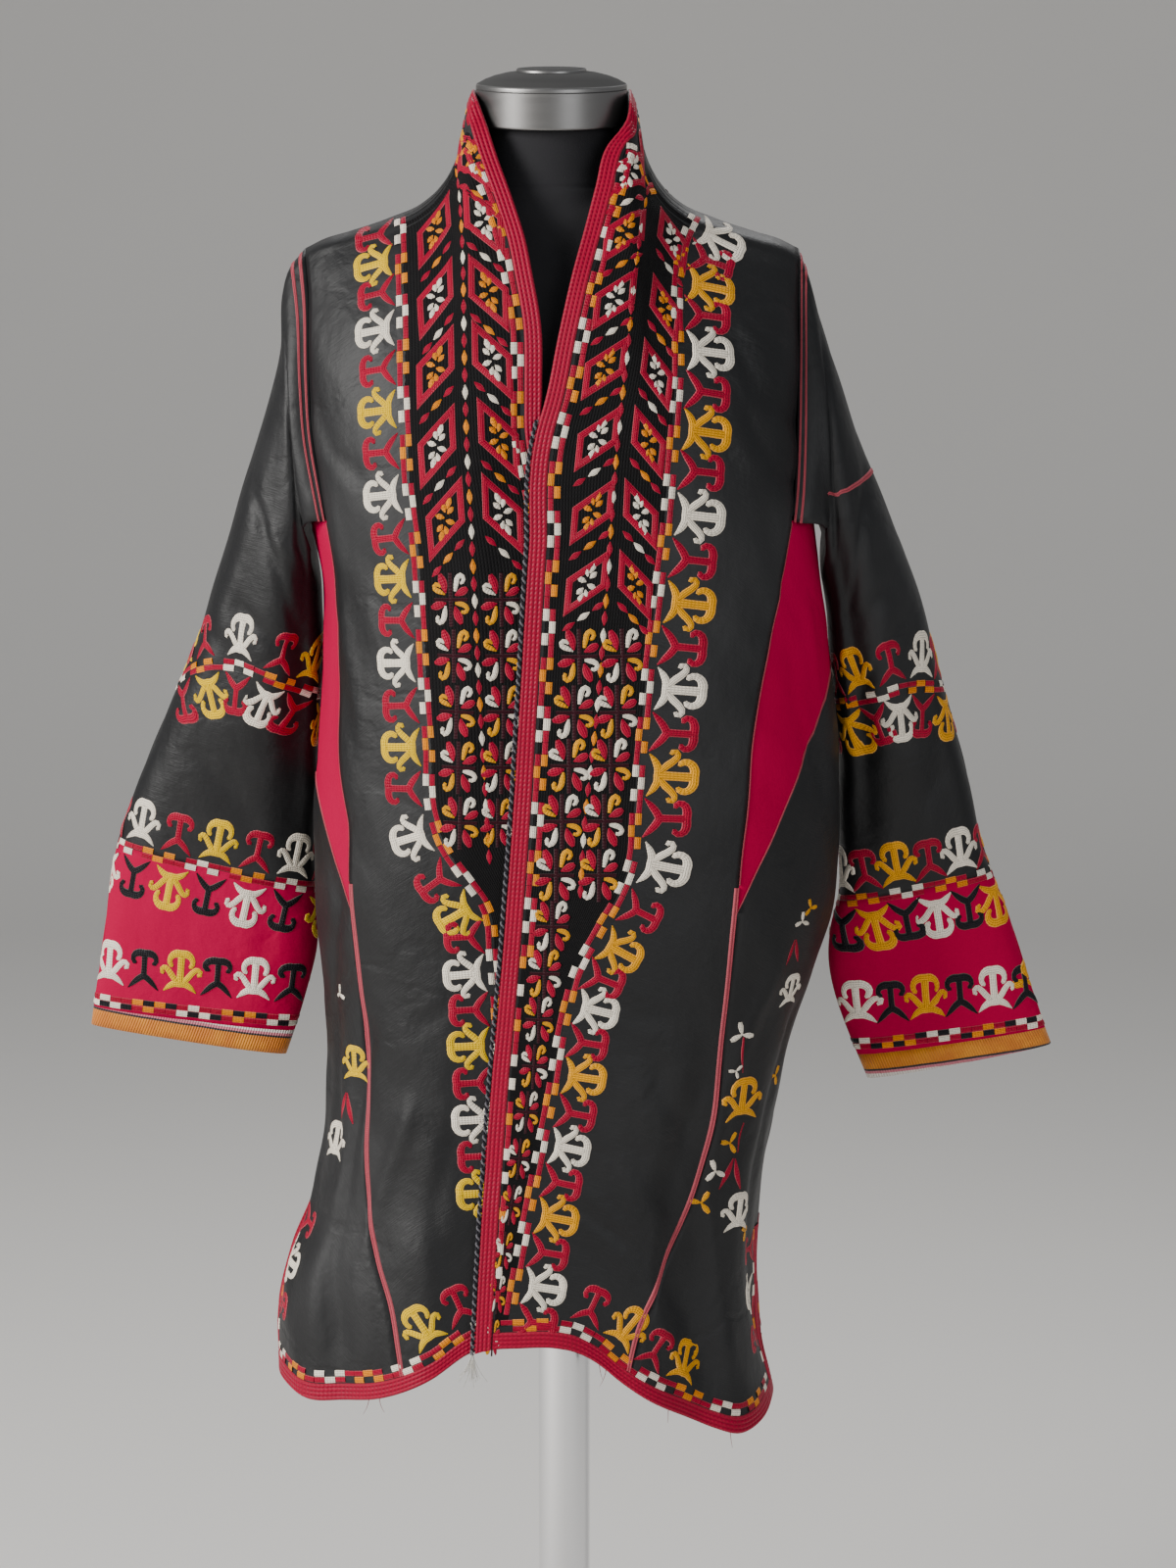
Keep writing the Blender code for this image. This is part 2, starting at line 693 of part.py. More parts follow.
# ---------------------------------------------------------------- the pieces
def add_panels():
    """Fronts, back, gores and gussets. Returns the grids that the trims are taken from."""
    silk = make_material("black_silk", (0.012, 0.012, 0.014), 0.48)
    crimson = make_material("crimson_silk", (0.60, 0.008, 0.045), 0.5)
    grids = {"back": grid_of(body, *back_grid())}
    upper = slice(0, ARMHOLE_ROWS)
    around = np.arange(ARMHOLE_ROWS) / SLEEVE_SIDES
    under = np.linspace(around[-1], 1 - around[-1], 2 * GORE_COLUMNS + 1)
    for side, name in ((1, "left"), (-1, "right")):
        shape = body if side > 0 else tucked
        grids["front_" + name] = grid_of(shape, front_grid(side), LEVELS)
        for behind, where in ((False, "front"), (True, "back")):
            grids[f"gore_{where}_{name}"] = grid_of(body, *gore_grid(side, behind))
        points, facing = grid_of(body, *gusset_grid(side))
        facing[0] = armhole_facing(side, under[::side])
        panel("gusset_" + name, points, facing, crimson)
        grids["front_" + name][1][upper, -1] = armhole_facing(side, around)
        grids["back"][1][upper, 0 if side > 0 else -1] = armhole_facing(side, 1 - around)
    for name, (points, facing) in grids.items():
        panel(name, points, facing, silk)
    return grids


def add_sleeves():
    """Sleeves, cuff panels, cuff trims and the tapes on the armhole seams."""
    silk = make_material("sleeve_silk", (0.012, 0.012, 0.014), 0.48)
    crimson = make_material("cuff_silk", (0.62, 0.006, 0.05), 0.5)
    orange = make_material("orange_trim", (0.75, 0.26, 0.02), 0.6)
    pink = make_material("armhole_tape", (0.58, 0.16, 0.19), 0.6)
    around = np.linspace(0, 1, SLEEVE_SIDES + 1)
    over = np.concatenate([around[-ARMHOLE_ROWS:-1] - 1, around[:ARMHOLE_ROWS]])
    for side, name in ((1, "left"), (-1, "right")):
        rows = SLEEVE_LEFT if side > 0 else SLEEVE_RIGHT
        end = rows["along"][-1]
        cuff, trim = end - CUFF_FROM_HAND, end - CUFF_TRIM_WIDE

        def ring_grid(along, around=around):
            turn, down = np.meshgrid(around, along)
            facing = sleeve_normals(side, turn, down)
            facing[0] = np.where(along[0] > 0, facing[0], armhole_facing(side, around))
            return sleeve(side, turn, down), facing

        along = np.concatenate([[0, 0.012, 0.018, 0.035, 0.060, 0.09, 0.12, 0.155],
                                np.linspace(0.195, cuff - SEAM_GAP / 2, 9)])
        panel("sleeve_" + name, *ring_grid(along), silk)
        strip("armhole_tape_" + name, *ring_grid(along[1:3], over), pink)
        along = np.linspace(cuff + SEAM_GAP / 2, trim - SEAM_GAP / 2, 6)
        panel("cuff_" + name, *ring_grid(along), crimson)
        along = np.array([trim + SEAM_GAP / 2, end])
        panel("cuff_trim_" + name, *ring_grid(along), orange)


def add_collar(grids):
    """The standing collar, and the braid that runs up one front, round it and down the other."""
    silk = make_material("collar_silk", (0.012, 0.012, 0.014), 0.48)
    braid = make_material("edge_braid", (0.45, 0.008, 0.03), 0.7)
    top = grids["back"][0][0, SHOULDER_COLUMNS + 1:-SHOULDER_COLUMNS - 1]
    share = (top[:, 0] - ROBE_X) / NECK_OUT
    around = 180 - np.sign(share) * angle_of_share(np.abs(share))
    angle, up = np.meshgrid(np.concatenate([[90.15], around, [269.85]]),
                            np.array([0.006, 0.22, 0.44, 0.64, 1 - COLLAR_BRAID, 1]))
    points = collar(angle, up)
    facing = normals(collar, angle, up, 0.1, 0.004)
    panel("collar", points, facing, silk)
    lanes = []
    for part in (0, 1):
        right, left = grids["front_right"][part], grids["front_left"][part]
        ring = (points, facing)[part][::-1, ::-1]
        lanes.append(np.concatenate([right[::-1, :2], ring[:2].transpose(1, 0, 2), left[:, :2]]))
    strip("edge_braid", *lanes, braid)


def add_hem_braids(grids):
    """Braids along the hems, turned up along the slit edges of the gores."""
    braid = make_material("hem_braid", (0.45, 0.008, 0.03), 0.7)
    slit_rows = int(np.sum(LEVELS <= SLIT_TOP))

    def hem(part, name, first=0, last=None):
        return grids[name][part][-1:-3:-1, first:last].transpose(1, 0, 2)

    def clear_of_edge(lane):
        return np.concatenate([between(lane[:1], lane[1:2], 0.04), lane[1:]])

    def slit(part, name):
        rows = grids[name][part][-1:-slit_rows - 1:-1]
        return rows[:, -1:-3:-1]

    def gore_lane(part, name, flip):
        lane = np.concatenate([hem(part, name, 1, -2), corner(part, name), slit(part, name)[1:]])
        return lane[::-1] if flip else lane

    def corner(part, name):
        rows = grids[name][part]
        inner = rows[-2, -2]
        return np.array([[rows[-1, -2], inner], [rows[-1, -1], inner]])

    for name, turn in (("left", False), ("right", False)):
        lanes = []
        for part in (0, 1):
            front = clear_of_edge(hem(part, "front_" + name, 1))
            lanes.append(np.concatenate([front, gore_lane(part, "gore_front_" + name, turn)]))
        strip("hem_braid_front_" + name, *lanes, braid)
    lanes = []
    for part in (0, 1):
        back = hem(part, "back")
        left = gore_lane(part, "gore_back_left", True)
        right = gore_lane(part, "gore_back_right", False)
        lanes.append(np.concatenate([left, back, right]))
    strip("hem_braid_back", *lanes, braid)


def add_seam_tapes(grids):
    """Pink tapes on the seams between the fronts and their gores."""
    pink = make_material("seam_tape", (0.58, 0.16, 0.19), 0.6)
    rows = slice(int(np.sum(LEVELS > GUSSET_TIP)), -2)
    for name in ("left", "right"):
        lanes = []
        for grid in grids["front_" + name]:
            end = between(grid[-2:-1, -2:], grid[-3:-2, -2:], 0.02)
            lanes.append(np.concatenate([grid[rows, -2:], end]))
        strip("seam_tape_" + name, *lanes, pink)


def add_edge_cord(grids):
    """Twisted cord sewn against the free edge of the wearer's left front."""
    points, facing = grids["front_left"]
    rows = slice(int(np.sum(LEVELS > CORD_TOP)), None)
    edge, inner, facing = points[rows, 0], points[rows, 1], facing[rows, 0]
    away = (edge - inner) / np.linalg.norm(edge - inner, axis=-1, keepdims=True)
    route = edge + away * (CORD_RADIUS + LIFT) - facing * CLOTH / 2
    curve = bpy.data.curves.new("edge_cord", "CURVE")
    curve.dimensions = "3D"
    curve.bevel_depth = CORD_RADIUS
    curve.bevel_resolution = 1
    curve.use_fill_caps = True
    spline = curve.splines.new("POLY")
    spline.points.add(len(route) - 1)
    for spot, place in zip(spline.points, route):
        spot.co = (*place, 1)
    curve.materials.append(make_material("edge_cord", (0.05, 0.05, 0.06), 0.7))
    PARTS.objects.link(bpy.data.objects.new("edge_cord", curve))


def add_torso():
    """The form's padded body and neck, one closed skin."""
    cloth = make_material("form_cloth", (0.035, 0.033, 0.036), 0.85)
    angle, row = np.meshgrid(np.linspace(0, 360, TORSO_SIDES + 1), np.arange(len(TORSO["high"])))
    across, forward = rounded(angle)
    get = {name: TORSO[name][row] for name in TORSO}
    power = np.where(get["high"] > 1.41, 1.0, 0.0)
    turn = np.radians(angle)
    across = across * (1 - power) + np.sin(turn) * power
    forward = forward * (1 - power) + np.cos(turn) * power
    deep = np.where(forward > 0, get["front"], get["back"])
    y = get["y"] - deep * forward
    z = get["high"] + (y - get["y"]) * np.tan(np.radians(get["lean"]))
    points = np.stack([ROBE_X + get["half"] * across, y, z], -1).reshape(-1, 3)
    rows, columns = angle.shape
    bm = bmesh.new()
    bmesh.ops.create_grid(bm, x_segments=columns - 1, y_segments=rows - 1, size=1)
    for vert in bm.verts:
        column = round((vert.co.x + 1) / 2 * (columns - 1))
        vert.co = points[round((vert.co.y + 1) / 2 * (rows - 1)) * columns + column]
    bmesh.ops.remove_doubles(bm, verts=bm.verts, dist=1e-6)
    bmesh.ops.holes_fill(bm, edges=[edge for edge in bm.edges if edge.is_boundary], sides=0)
    bmesh.ops.recalc_face_normals(bm, faces=bm.faces)
    mesh = bpy.data.meshes.new("form_torso")
    bm.to_mesh(mesh)
    bm.free()
    mesh.materials.append(cloth)
    mesh.shade_smooth()
    mesh.set_sharp_from_angle(angle=math.radians(50))
    PARTS.objects.link(bpy.data.objects.new("form_torso", mesh))


def turned(name, profile, material, steps):
    """A solid of revolution from its outer profile, listed top to bottom as (radius, height)."""
    mesh = bpy.data.meshes.new(name)
    mesh.from_pydata([(radius, 0, high) for radius, high in profile],
                     [(i, i + 1) for i in range(len(profile) - 1)], [])
    mesh.materials.append(material)
    piece = bpy.data.objects.new(name, mesh)
    screw = piece.modifiers.new("turn", "SCREW")
    screw.steps = screw.render_steps = steps
    screw.use_merge_vertices = True
    screw.merge_threshold = 0.00001
    screw.use_smooth_shade = True
    PARTS.objects.link(piece)
    return piece


def add_stand():
    """Neck cap, pole and base plate."""
    chrome = make_material("chrome", (0.78, 0.78, 0.78), 0.18, 1.0)
    satin = make_material("satin_metal", (0.42, 0.42, 0.44), 0.32, 1.0)
    r, h = CAP_RADIUS, CAP_TALL
    cap = turned("form_neck_cap", [(0, h + 0.0130), (0.027, h + 0.0118), (0.030, h + 0.0096),
                                   (0.045, h + 0.0060), (r - 0.002, h + 0.0012), (r, h - 0.001),
                                   (r, 0.001), (r - 0.001, 0), (0, 0)], satin, 32)
    cap.location = CAP_FOOT
    cap.rotation_euler = (CAP_TILT, 0, 0)
    turned("form_pole", [(0, TORSO_FOOT - LIFT), (POLE_RADIUS, TORSO_FOOT - LIFT),
                         (POLE_RADIUS, BASE_THICK + LIFT), (0, BASE_THICK + LIFT)], chrome, 24)
    edge = 0.004
    turned("form_base", [(0, BASE_THICK), (BASE_RADIUS - edge, BASE_THICK),
                         (BASE_RADIUS, BASE_THICK - edge), (BASE_RADIUS, 0), (0, 0)], satin, 40)


# ---------------------------------------------------------------- build
for old in list(bpy.data.objects):
    bpy.data.objects.remove(old, do_unlink=True)
PARTS = bpy.data.collections.new("robe_on_dress_form")
bpy.context.scene.collection.children.link(PARTS)

panels = add_panels()
add_sleeves()
add_collar(panels)
add_hem_braids(panels)
add_seam_tapes(panels)
add_edge_cord(panels)
add_torso()
add_stand()
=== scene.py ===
# %% [markdown]
# # A silk robe with chain-stitch embroidery, on a dress form
#
# An open-fronted Central Asian robe is cut from straight widths of black silk. Crimson gussets sit under the
# arms, gores widen the skirt, and every edge is bound with crimson braid. Most of what the eye sees is silk
# thread in chain stitch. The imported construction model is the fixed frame. This lesson dresses it: each cloth
# piece becomes a fine thin shell, and the stitching is laid on it as real raised geometry.

# %% Load the frame
import math
from functools import partial

import bmesh
import bpy
import numpy as np
from mathutils import Matrix, Vector


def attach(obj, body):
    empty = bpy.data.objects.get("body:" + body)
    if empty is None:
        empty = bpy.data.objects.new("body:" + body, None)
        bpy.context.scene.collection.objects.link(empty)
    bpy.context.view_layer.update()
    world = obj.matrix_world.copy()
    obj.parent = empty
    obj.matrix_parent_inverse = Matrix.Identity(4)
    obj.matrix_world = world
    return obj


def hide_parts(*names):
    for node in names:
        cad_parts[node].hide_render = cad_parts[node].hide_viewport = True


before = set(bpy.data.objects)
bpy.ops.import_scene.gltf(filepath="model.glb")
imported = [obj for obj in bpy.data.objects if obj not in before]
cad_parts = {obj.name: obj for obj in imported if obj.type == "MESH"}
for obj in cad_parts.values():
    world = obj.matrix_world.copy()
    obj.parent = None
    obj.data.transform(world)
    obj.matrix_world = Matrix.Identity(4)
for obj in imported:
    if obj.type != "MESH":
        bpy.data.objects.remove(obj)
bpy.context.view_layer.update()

# %% [markdown]
# ## The robe's sizes
#
# The shells must lie exactly where the construction's walls lie, so this script repeats its driving sizes and
# its short tables. Each table has a row for a section, a fold or a point of a seam. Left and right are the
# wearer's, and a level is a height on the body before hem and shoulder slopes are added.

# %% Driving sizes, in metres
RIDGE_GAP = 0.0009      # front and back stand this far apart along the shoulder line
SEAM_GAP = 0.0004       # pieces stand this far apart at a seam
LIFT = 0.0003           # a trim lies this far above its panel
BRAID_WIDE = 0.0135
TAPE_WIDE = 0.005
CORD_RADIUS = 0.0017
CORD_TOP = 1.23         # the edge cord starts at this level
COLLAR_BRAID = 0.156    # share of the collar's height under its braid
CUFF_TRIM_WIDE = 0.015

TOP_LEVEL = 1.386       # level of the shoulder line
HEM_LEVEL = 0.445       # level of the hem
ARMHOLE_FOOT = 1.165    # level where armhole and gusset meet
GUSSET_TIP = 0.862      # level of the gussets' lower tips
GORE_CREST = {1: 1.050, -1: 0.960}      # level where the left and the right gores end at the side
GORE_GAP = 0.0012       # the same seam gap, measured in level along the steep gusset seam
SLIT_TOP = 0.592        # level where the side slits start
NECK_OUT = 0.100        # half width of the neckline where the collar is set in
COLLAR_OUT = 0.061      # half width of the collar's upper edge
COLLAR_DEEP = 0.071     # how far back the collar's upper edge stands
BACK_NECK_DROP = 0.046  # how much lower the back neckline runs in the middle
ROBE_X = -0.009         # the neck stands this far from the pole's axis
ROBE_Y = 0.004
SECTION_POWER = 2.3     # 2 is an ellipse, more is boxier
TUCK_DEEP = 0.0065      # the lower front lies this far under the upper one
NAPE_RISE = 0.071       # how much higher the body rises at the nape than at the neck's sides

POLE_RADIUS = 0.021
BASE_RADIUS = 0.185
BASE_THICK = 0.012
TORSO_FOOT = 0.822
CAP_RADIUS = 0.059
CAP_TALL = 0.0315
CAP_TILT = math.radians(9)
CAP_FOOT = (ROBE_X, -0.006, 1.4715)


def table(text):
    """Rows of numbers under named columns."""
    lines = [line.split() for line in text.strip().splitlines()]
    return {name: np.array([float(row[i]) for row in lines[1:]]) for i, name in enumerate(lines[0])}


print("shoulder line at", TOP_LEVEL, "hem at", HEM_LEVEL)

# %% Sections of the body, shoulder line and hem
# Sections of the hanging body: left and right silhouette, reach to the front and to the back.
BODY = table("""
level  mid     left    right  front   back
1.386  -0.009  -0.212  0.194  0.0004  0.0004
1.382  -0.009  -0.212  0.194  0.030   0.028
1.370  -0.009  -0.212  0.194  0.052   0.047
1.350  -0.009  -0.212  0.194  0.069   0.064
1.320  -0.009  -0.212  0.194  0.091   0.085
1.280  -0.009  -0.212  0.194  0.111   0.103
1.235  -0.009  -0.209  0.195  0.124   0.115
1.180  -0.009  -0.203  0.198  0.130   0.120
1.110  -0.010  -0.192  0.206  0.131   0.116
1.050  -0.010  -0.192  0.214  0.130   0.113
0.980  -0.010  -0.197  0.220  0.128   0.112
0.900  -0.010  -0.201  0.221  0.126   0.114
0.850  -0.010  -0.199  0.216  0.125   0.116
0.800  -0.011  -0.195  0.201  0.124   0.117
0.765  -0.012  -0.190  0.188  0.124   0.118
0.700  -0.015  -0.190  0.174  0.124   0.118
0.640  -0.018  -0.196  0.161  0.125   0.118
0.590  -0.021  -0.207  0.156  0.127   0.119
0.550  -0.024  -0.222  0.155  0.129   0.120
0.500  -0.027  -0.232  0.160  0.132   0.121
0.445  -0.030  -0.234  0.171  0.135   0.122
""")

# Height of the shoulder line and of the standing collar's side, by distance from the neck's middle.
RIDGE = table("""
out     high
0.061   1.500
0.066   1.487
0.070   1.470
0.0725  1.455
0.078   1.440
0.088   1.4245
0.100   1.4135
0.127   1.401
0.160   1.390
0.180   1.384
0.194   1.377
0.206   1.372
""")

# How much of the shoulder line's rise is left at each level below it.
RISE_LEFT = table("""
level  share
1.386  1.00
1.370  0.90
1.350  0.78
1.320  0.57
1.300  0.47
1.280  0.36
1.250  0.20
1.220  0.07
1.200  0.00
""")

# Height of the hem by place across: it arches up at the front edges and hangs low at the gores.
HEM_FRONT = table("""
x       high
-0.234  0.474
-0.200  0.468
-0.178  0.4705
-0.150  0.476
-0.104  0.497
-0.072  0.518
-0.031  0.5235
-0.006  0.523
0.010   0.519
0.027   0.509
0.044   0.494
0.061   0.481
0.094   0.461
0.121   0.446
0.145   0.439
0.160   0.443
0.171   0.450
""")
HEM_BACK = table("""
x       high
-0.234  0.478
-0.150  0.464
0.000   0.470
0.100   0.460
0.171   0.450
""")
HEM_RISE_STARTS = 0.80
print("body sections", len(BODY["level"]), "from", BODY["level"][0], "down to", BODY["level"][-1])

# %% Largest folds of body and sleeves
# Largest folds. On the body: angle at the hem, its change per metre up, where the fold fades out
# above and over what length, half width in degrees, and how far it stands out (+) or sinks (-).
BODY_FOLDS = table("""
angle  lean   top   reach  width  deep
-64    -10    0.84  0.30   13     0.011
-41    -30    0.74  0.24   9     -0.007
-20    0      0.66  0.20   9      0.004
16     -20    0.70  0.24   10    -0.005
40     10     0.82  0.28   11    -0.010
63     20     0.90  0.32   12     0.012
118    -20    0.86  0.34   13     0.009
146    0      0.80  0.30   12    -0.009
174    10     0.88  0.36   13     0.007
204    20     0.78  0.28   12    -0.008
238    10     0.88  0.34   14     0.009
""")

# On the sleeves: place around at the armhole, its change per metre, start, length, half width, depth.
SLEEVE_FOLDS = table("""
side  around  lean   start  length  width  deep
1     0.300   0.10   0.08   0.44    0.045  -0.011
1     0.180  -0.05   0.12   0.44    0.050  -0.006
1     0.700   0.05   0.05   0.40    0.050  -0.008
-1    0.330   0.12   0.09   0.44    0.045  -0.011
-1    0.210  -0.05   0.10   0.34    0.050  -0.006
-1    0.680  -0.04   0.06   0.44    0.050  -0.009
""")
print("folds", len(BODY_FOLDS["angle"]), "on the body,", len(SLEEVE_FOLDS["side"]), "on the sleeves")

# %% Free edges and seams
# Free edges of the two fronts, by side: 1 is the wearer's left, whose front lies on top, and -1 the right,
# which tucks under it.
EDGE = {1: table("""
level  x
1.386  0.0520
1.368  0.0477
1.357  0.0338
1.340  0.0255
1.321  0.0165
1.302  0.0084
1.272  -0.0027
1.240  -0.0130
1.226  -0.0190
1.146  -0.0255
1.040  -0.0320
0.930  -0.0390
0.815  -0.0480
0.738  -0.0545
0.620  -0.0610
0.445  -0.0690
"""), -1: table("""
level  x
1.386  -0.0700
1.367  -0.0580
1.351  -0.0490
1.332  -0.0365
1.320  -0.0296
1.300  -0.0227
1.276  -0.0160
1.245  -0.0152
1.226  -0.0150
1.190  -0.0070
1.146  0.0020
0.930  0.0120
0.738  0.0180
0.445  0.0220
""")}

# Armhole, then gusset seam, then gore seam, at the side of each front and of the back.
SEAM = {1: table("""
level  x
1.386  0.1850
1.280  0.1830
1.235  0.1820
1.180  0.1790
1.160  0.1765
1.110  0.1690
1.075  0.1605
1.036  0.1530
1.000  0.1470
0.960  0.1440
0.905  0.1386
0.863  0.1350
0.776  0.1270
0.681  0.1160
0.625  0.1010
0.565  0.0812
0.490  0.0582
0.445  0.0500
"""), -1: table("""
level  x
1.386  -0.2030
1.340  -0.1985
1.280  -0.1970
1.235  -0.1950
1.180  -0.1860
1.155  -0.1815
1.120  -0.1780
1.043  -0.1750
0.966  -0.1740
0.920  -0.1680
0.865  -0.1665
0.796  -0.1600
0.732  -0.1560
0.660  -0.1565
0.610  -0.1536
0.565  -0.1477
0.520  -0.1364
0.480  -0.1304
0.445  -0.1260
""")}
print("front edges and side seams read")

# %% Sleeve sections and the form's sections
# Sleeve sections by side: outer and inner edge seen from the front, middle depth and half thickness.
SLEEVE = {-1: table("""
along  outer_x  outer_z  inner_x  inner_z  y      half
0.000  -0.2035  1.3825   -0.2010  1.1655   0.004  0.052
0.020  -0.2160  1.3660   -0.2060  1.1630   0.005  0.054
0.040  -0.2210  1.3480   -0.2075  1.1540   0.007  0.056
0.090  -0.2235  1.2970   -0.2000  1.1300   0.010  0.058
0.165  -0.2450  1.2235   -0.1945  1.1000   0.016  0.060
0.225  -0.2630  1.1685   -0.1945  1.0680   0.022  0.061
0.283  -0.2810  1.1135   -0.1955  1.0300   0.030  0.060
0.324  -0.2940  1.0750   -0.1980  1.0000   0.036  0.057
0.358  -0.3070  1.0430   -0.2000  0.9750   0.040  0.053
0.420  -0.3325  0.9860   -0.2020  0.9300   0.046  0.045
0.464  -0.3495  0.9455   -0.2045  0.8950   0.050  0.039
0.516  -0.3665  0.8965   -0.2040  0.8600   0.052  0.033
0.599  -0.3800  0.8150   -0.2060  0.7980   0.053  0.024
0.640  -0.3862  0.7750   -0.2170  0.7580   0.053  0.018
0.669  -0.3910  0.7455   -0.2302  0.7206   0.052  0.014
"""), 1: table("""
along  outer_x  outer_z  inner_x  inner_z  y      half
0.000  0.1870   1.3745   0.2000   1.1655   0.004  0.051
0.020  0.1935   1.3560   0.2085   1.1620   0.002  0.051
0.055  0.2030   1.3210   0.2105   1.1500   0.004  0.053
0.100  0.2170   1.2780   0.2060   1.1250   0.009  0.056
0.146  0.2323   1.2345   0.2095   1.1050   0.016  0.060
0.182  0.2462   1.2017   0.2120   1.0850   0.020  0.061
0.218  0.2603   1.1687   0.2145   1.0620   0.024  0.061
0.254  0.2745   1.1355   0.2165   1.0370   0.028  0.060
0.301  0.2906   1.0908   0.2190   1.0050   0.034  0.057
0.359  0.3063   1.0346   0.2235   0.9650   0.040  0.051
0.435  0.3277   0.9619   0.2245   0.9150   0.046  0.043
0.511  0.3454   0.8885   0.2265   0.8600   0.050  0.034
0.563  0.3647   0.8396   0.2190   0.8240   0.052  0.028
0.623  0.3834   0.7823   0.2217   0.7741   0.053  0.019
0.680  0.4021   0.7289   0.2508   0.7000   0.052  0.014
""")}
SLEEVE_SET_IN = 0.10    # the armhole's shape fades into the sleeve's own over this length
CUFF_FROM_HAND = 0.154  # the crimson cuff panel's length

# Dress form: half width, reach to front and back, lean of the section plane in degrees.
TORSO = table("""
high   half   front  back   y       lean
1.4705 0.049  0.049  0.049  -0.006  9.0
1.450  0.050  0.050  0.050  -0.004  7.0
1.430  0.052  0.053  0.051  -0.001  4.0
1.416  0.060  0.058  0.054  0.002   2.0
1.404  0.078  0.060  0.056  0.004   0.0
1.394  0.098  0.060  0.056  0.004   0.0
1.382  0.128  0.059  0.055  0.004   0.0
1.370  0.150  0.060  0.056  0.004   0.0
1.355  0.166  0.066  0.061  0.004   0.0
1.330  0.175  0.080  0.073  0.004   0.0
1.290  0.177  0.098  0.088  0.004   0.0
1.240  0.172  0.113  0.100  0.004   0.0
1.190  0.163  0.118  0.102  0.004   0.0
1.140  0.151  0.112  0.097  0.004   0.0
1.090  0.141  0.103  0.091  0.004   0.0
1.050  0.137  0.099  0.089  0.004   0.0
1.000  0.142  0.100  0.092  0.004   0.0
0.940  0.153  0.104  0.099  0.004   0.0
0.890  0.158  0.106  0.103  0.004   0.0
0.850  0.154  0.102  0.101  0.004   0.0
0.830  0.143  0.092  0.092  0.004   0.0
0.822  0.128  0.080  0.080  0.004   0.0
""")

# Rows and columns of the construction, which set where the armhole and the gores meet.
ARMHOLE_LEVELS = np.array([1.386, 1.381, 1.371, 1.356, 1.335, 1.305, 1.265, 1.215, 1.165])
SLEEVE_SIDES = 24
SLEEVE_ENDS = {side: float(rows["along"][-1]) for side, rows in SLEEVE.items()}
SIDES = ((1, "left"), (-1, "right"))
print("sleeves are this long in metres, by side", SLEEVE_ENDS)

# %% [markdown]
# ## From tables to surfaces
#
# A tailor's block is a few measured sections with smooth lines between them. The next functions do the same:
# they read a smooth curve through each column and return points of the body, collar and sleeves for any two
# running numbers. Every later piece, from a panel to a stitch, is placed with these functions.

# %% Reading the tables
def read(rows, key, column, at):
    """A smooth curve through one column, by the key column."""
    knots, values = rows[key], rows[column]
    if knots[0] > knots[-1]:
        knots, values = knots[::-1], values[::-1]
    at = np.clip(np.asarray(at, float), knots[0], knots[-1])
    steps = np.diff(values) / np.diff(knots)
    before, after = np.diff(knots)[:-1], np.diff(knots)[1:]
    slopes = np.concatenate([steps[:1], (steps[:-1] * after + steps[1:] * before) / (before + after),
                             steps[-1:]])
    i = np.clip(np.searchsorted(knots, at, side="right") - 1, 0, len(knots) - 2)
    span = knots[i + 1] - knots[i]
    t = (at - knots[i]) / span
    return (values[i] * (1 + 2 * t) * (1 - t) ** 2 + values[i + 1] * t * t * (3 - 2 * t)
            + slopes[i] * span * t * (1 - t) ** 2 - slopes[i + 1] * span * t * t * (1 - t))


def ease(t):
    """0 below 0, 1 above 1, smooth between."""
    t = np.clip(t, 0, 1)
    return t * t * (3 - 2 * t)


def rounded(angle):
    """Across and forward shares of a rounded-box section at an angle in degrees."""
    turn = np.radians(angle)
    s, c = np.sin(turn), np.cos(turn)
    return (np.sign(s) * np.abs(s) ** (2 / SECTION_POWER),
            np.sign(c) * np.abs(c) ** (2 / SECTION_POWER))


def rows_of(rows):
    """The rows of a table, one dictionary each."""
    return [dict(zip(rows, values)) for values in zip(*rows.values())]


def rows_by_side(rows, side):
    """The rows of a table that are for one side, left 1 or right -1."""
    return [row for row in rows_of(rows) if row["side"] == side]


def hump(at, middle, width, whole):
    """A soft rise of 1 at the middle, on a scale that closes on itself after the whole."""
    gap = (at - middle + whole / 2) % whole - whole / 2
    return np.exp(-(gap / width) ** 2)


print("body at 1 m reaches", [float(read(BODY, "level", side, 1.0).round(3)) for side in ("left", "right")])

# %% The hanging body
def body_folds(angle, level):
    """How far the folds move the cloth out."""
    out = 0.0 * level
    for fold in rows_of(BODY_FOLDS):
        line = fold["angle"] + fold["lean"] * (level - HEM_LEVEL)
        out = out + (fold["deep"] * hump(angle, line, fold["width"], 360)
                     * ease((fold["top"] - level) / fold["reach"]))
    return out


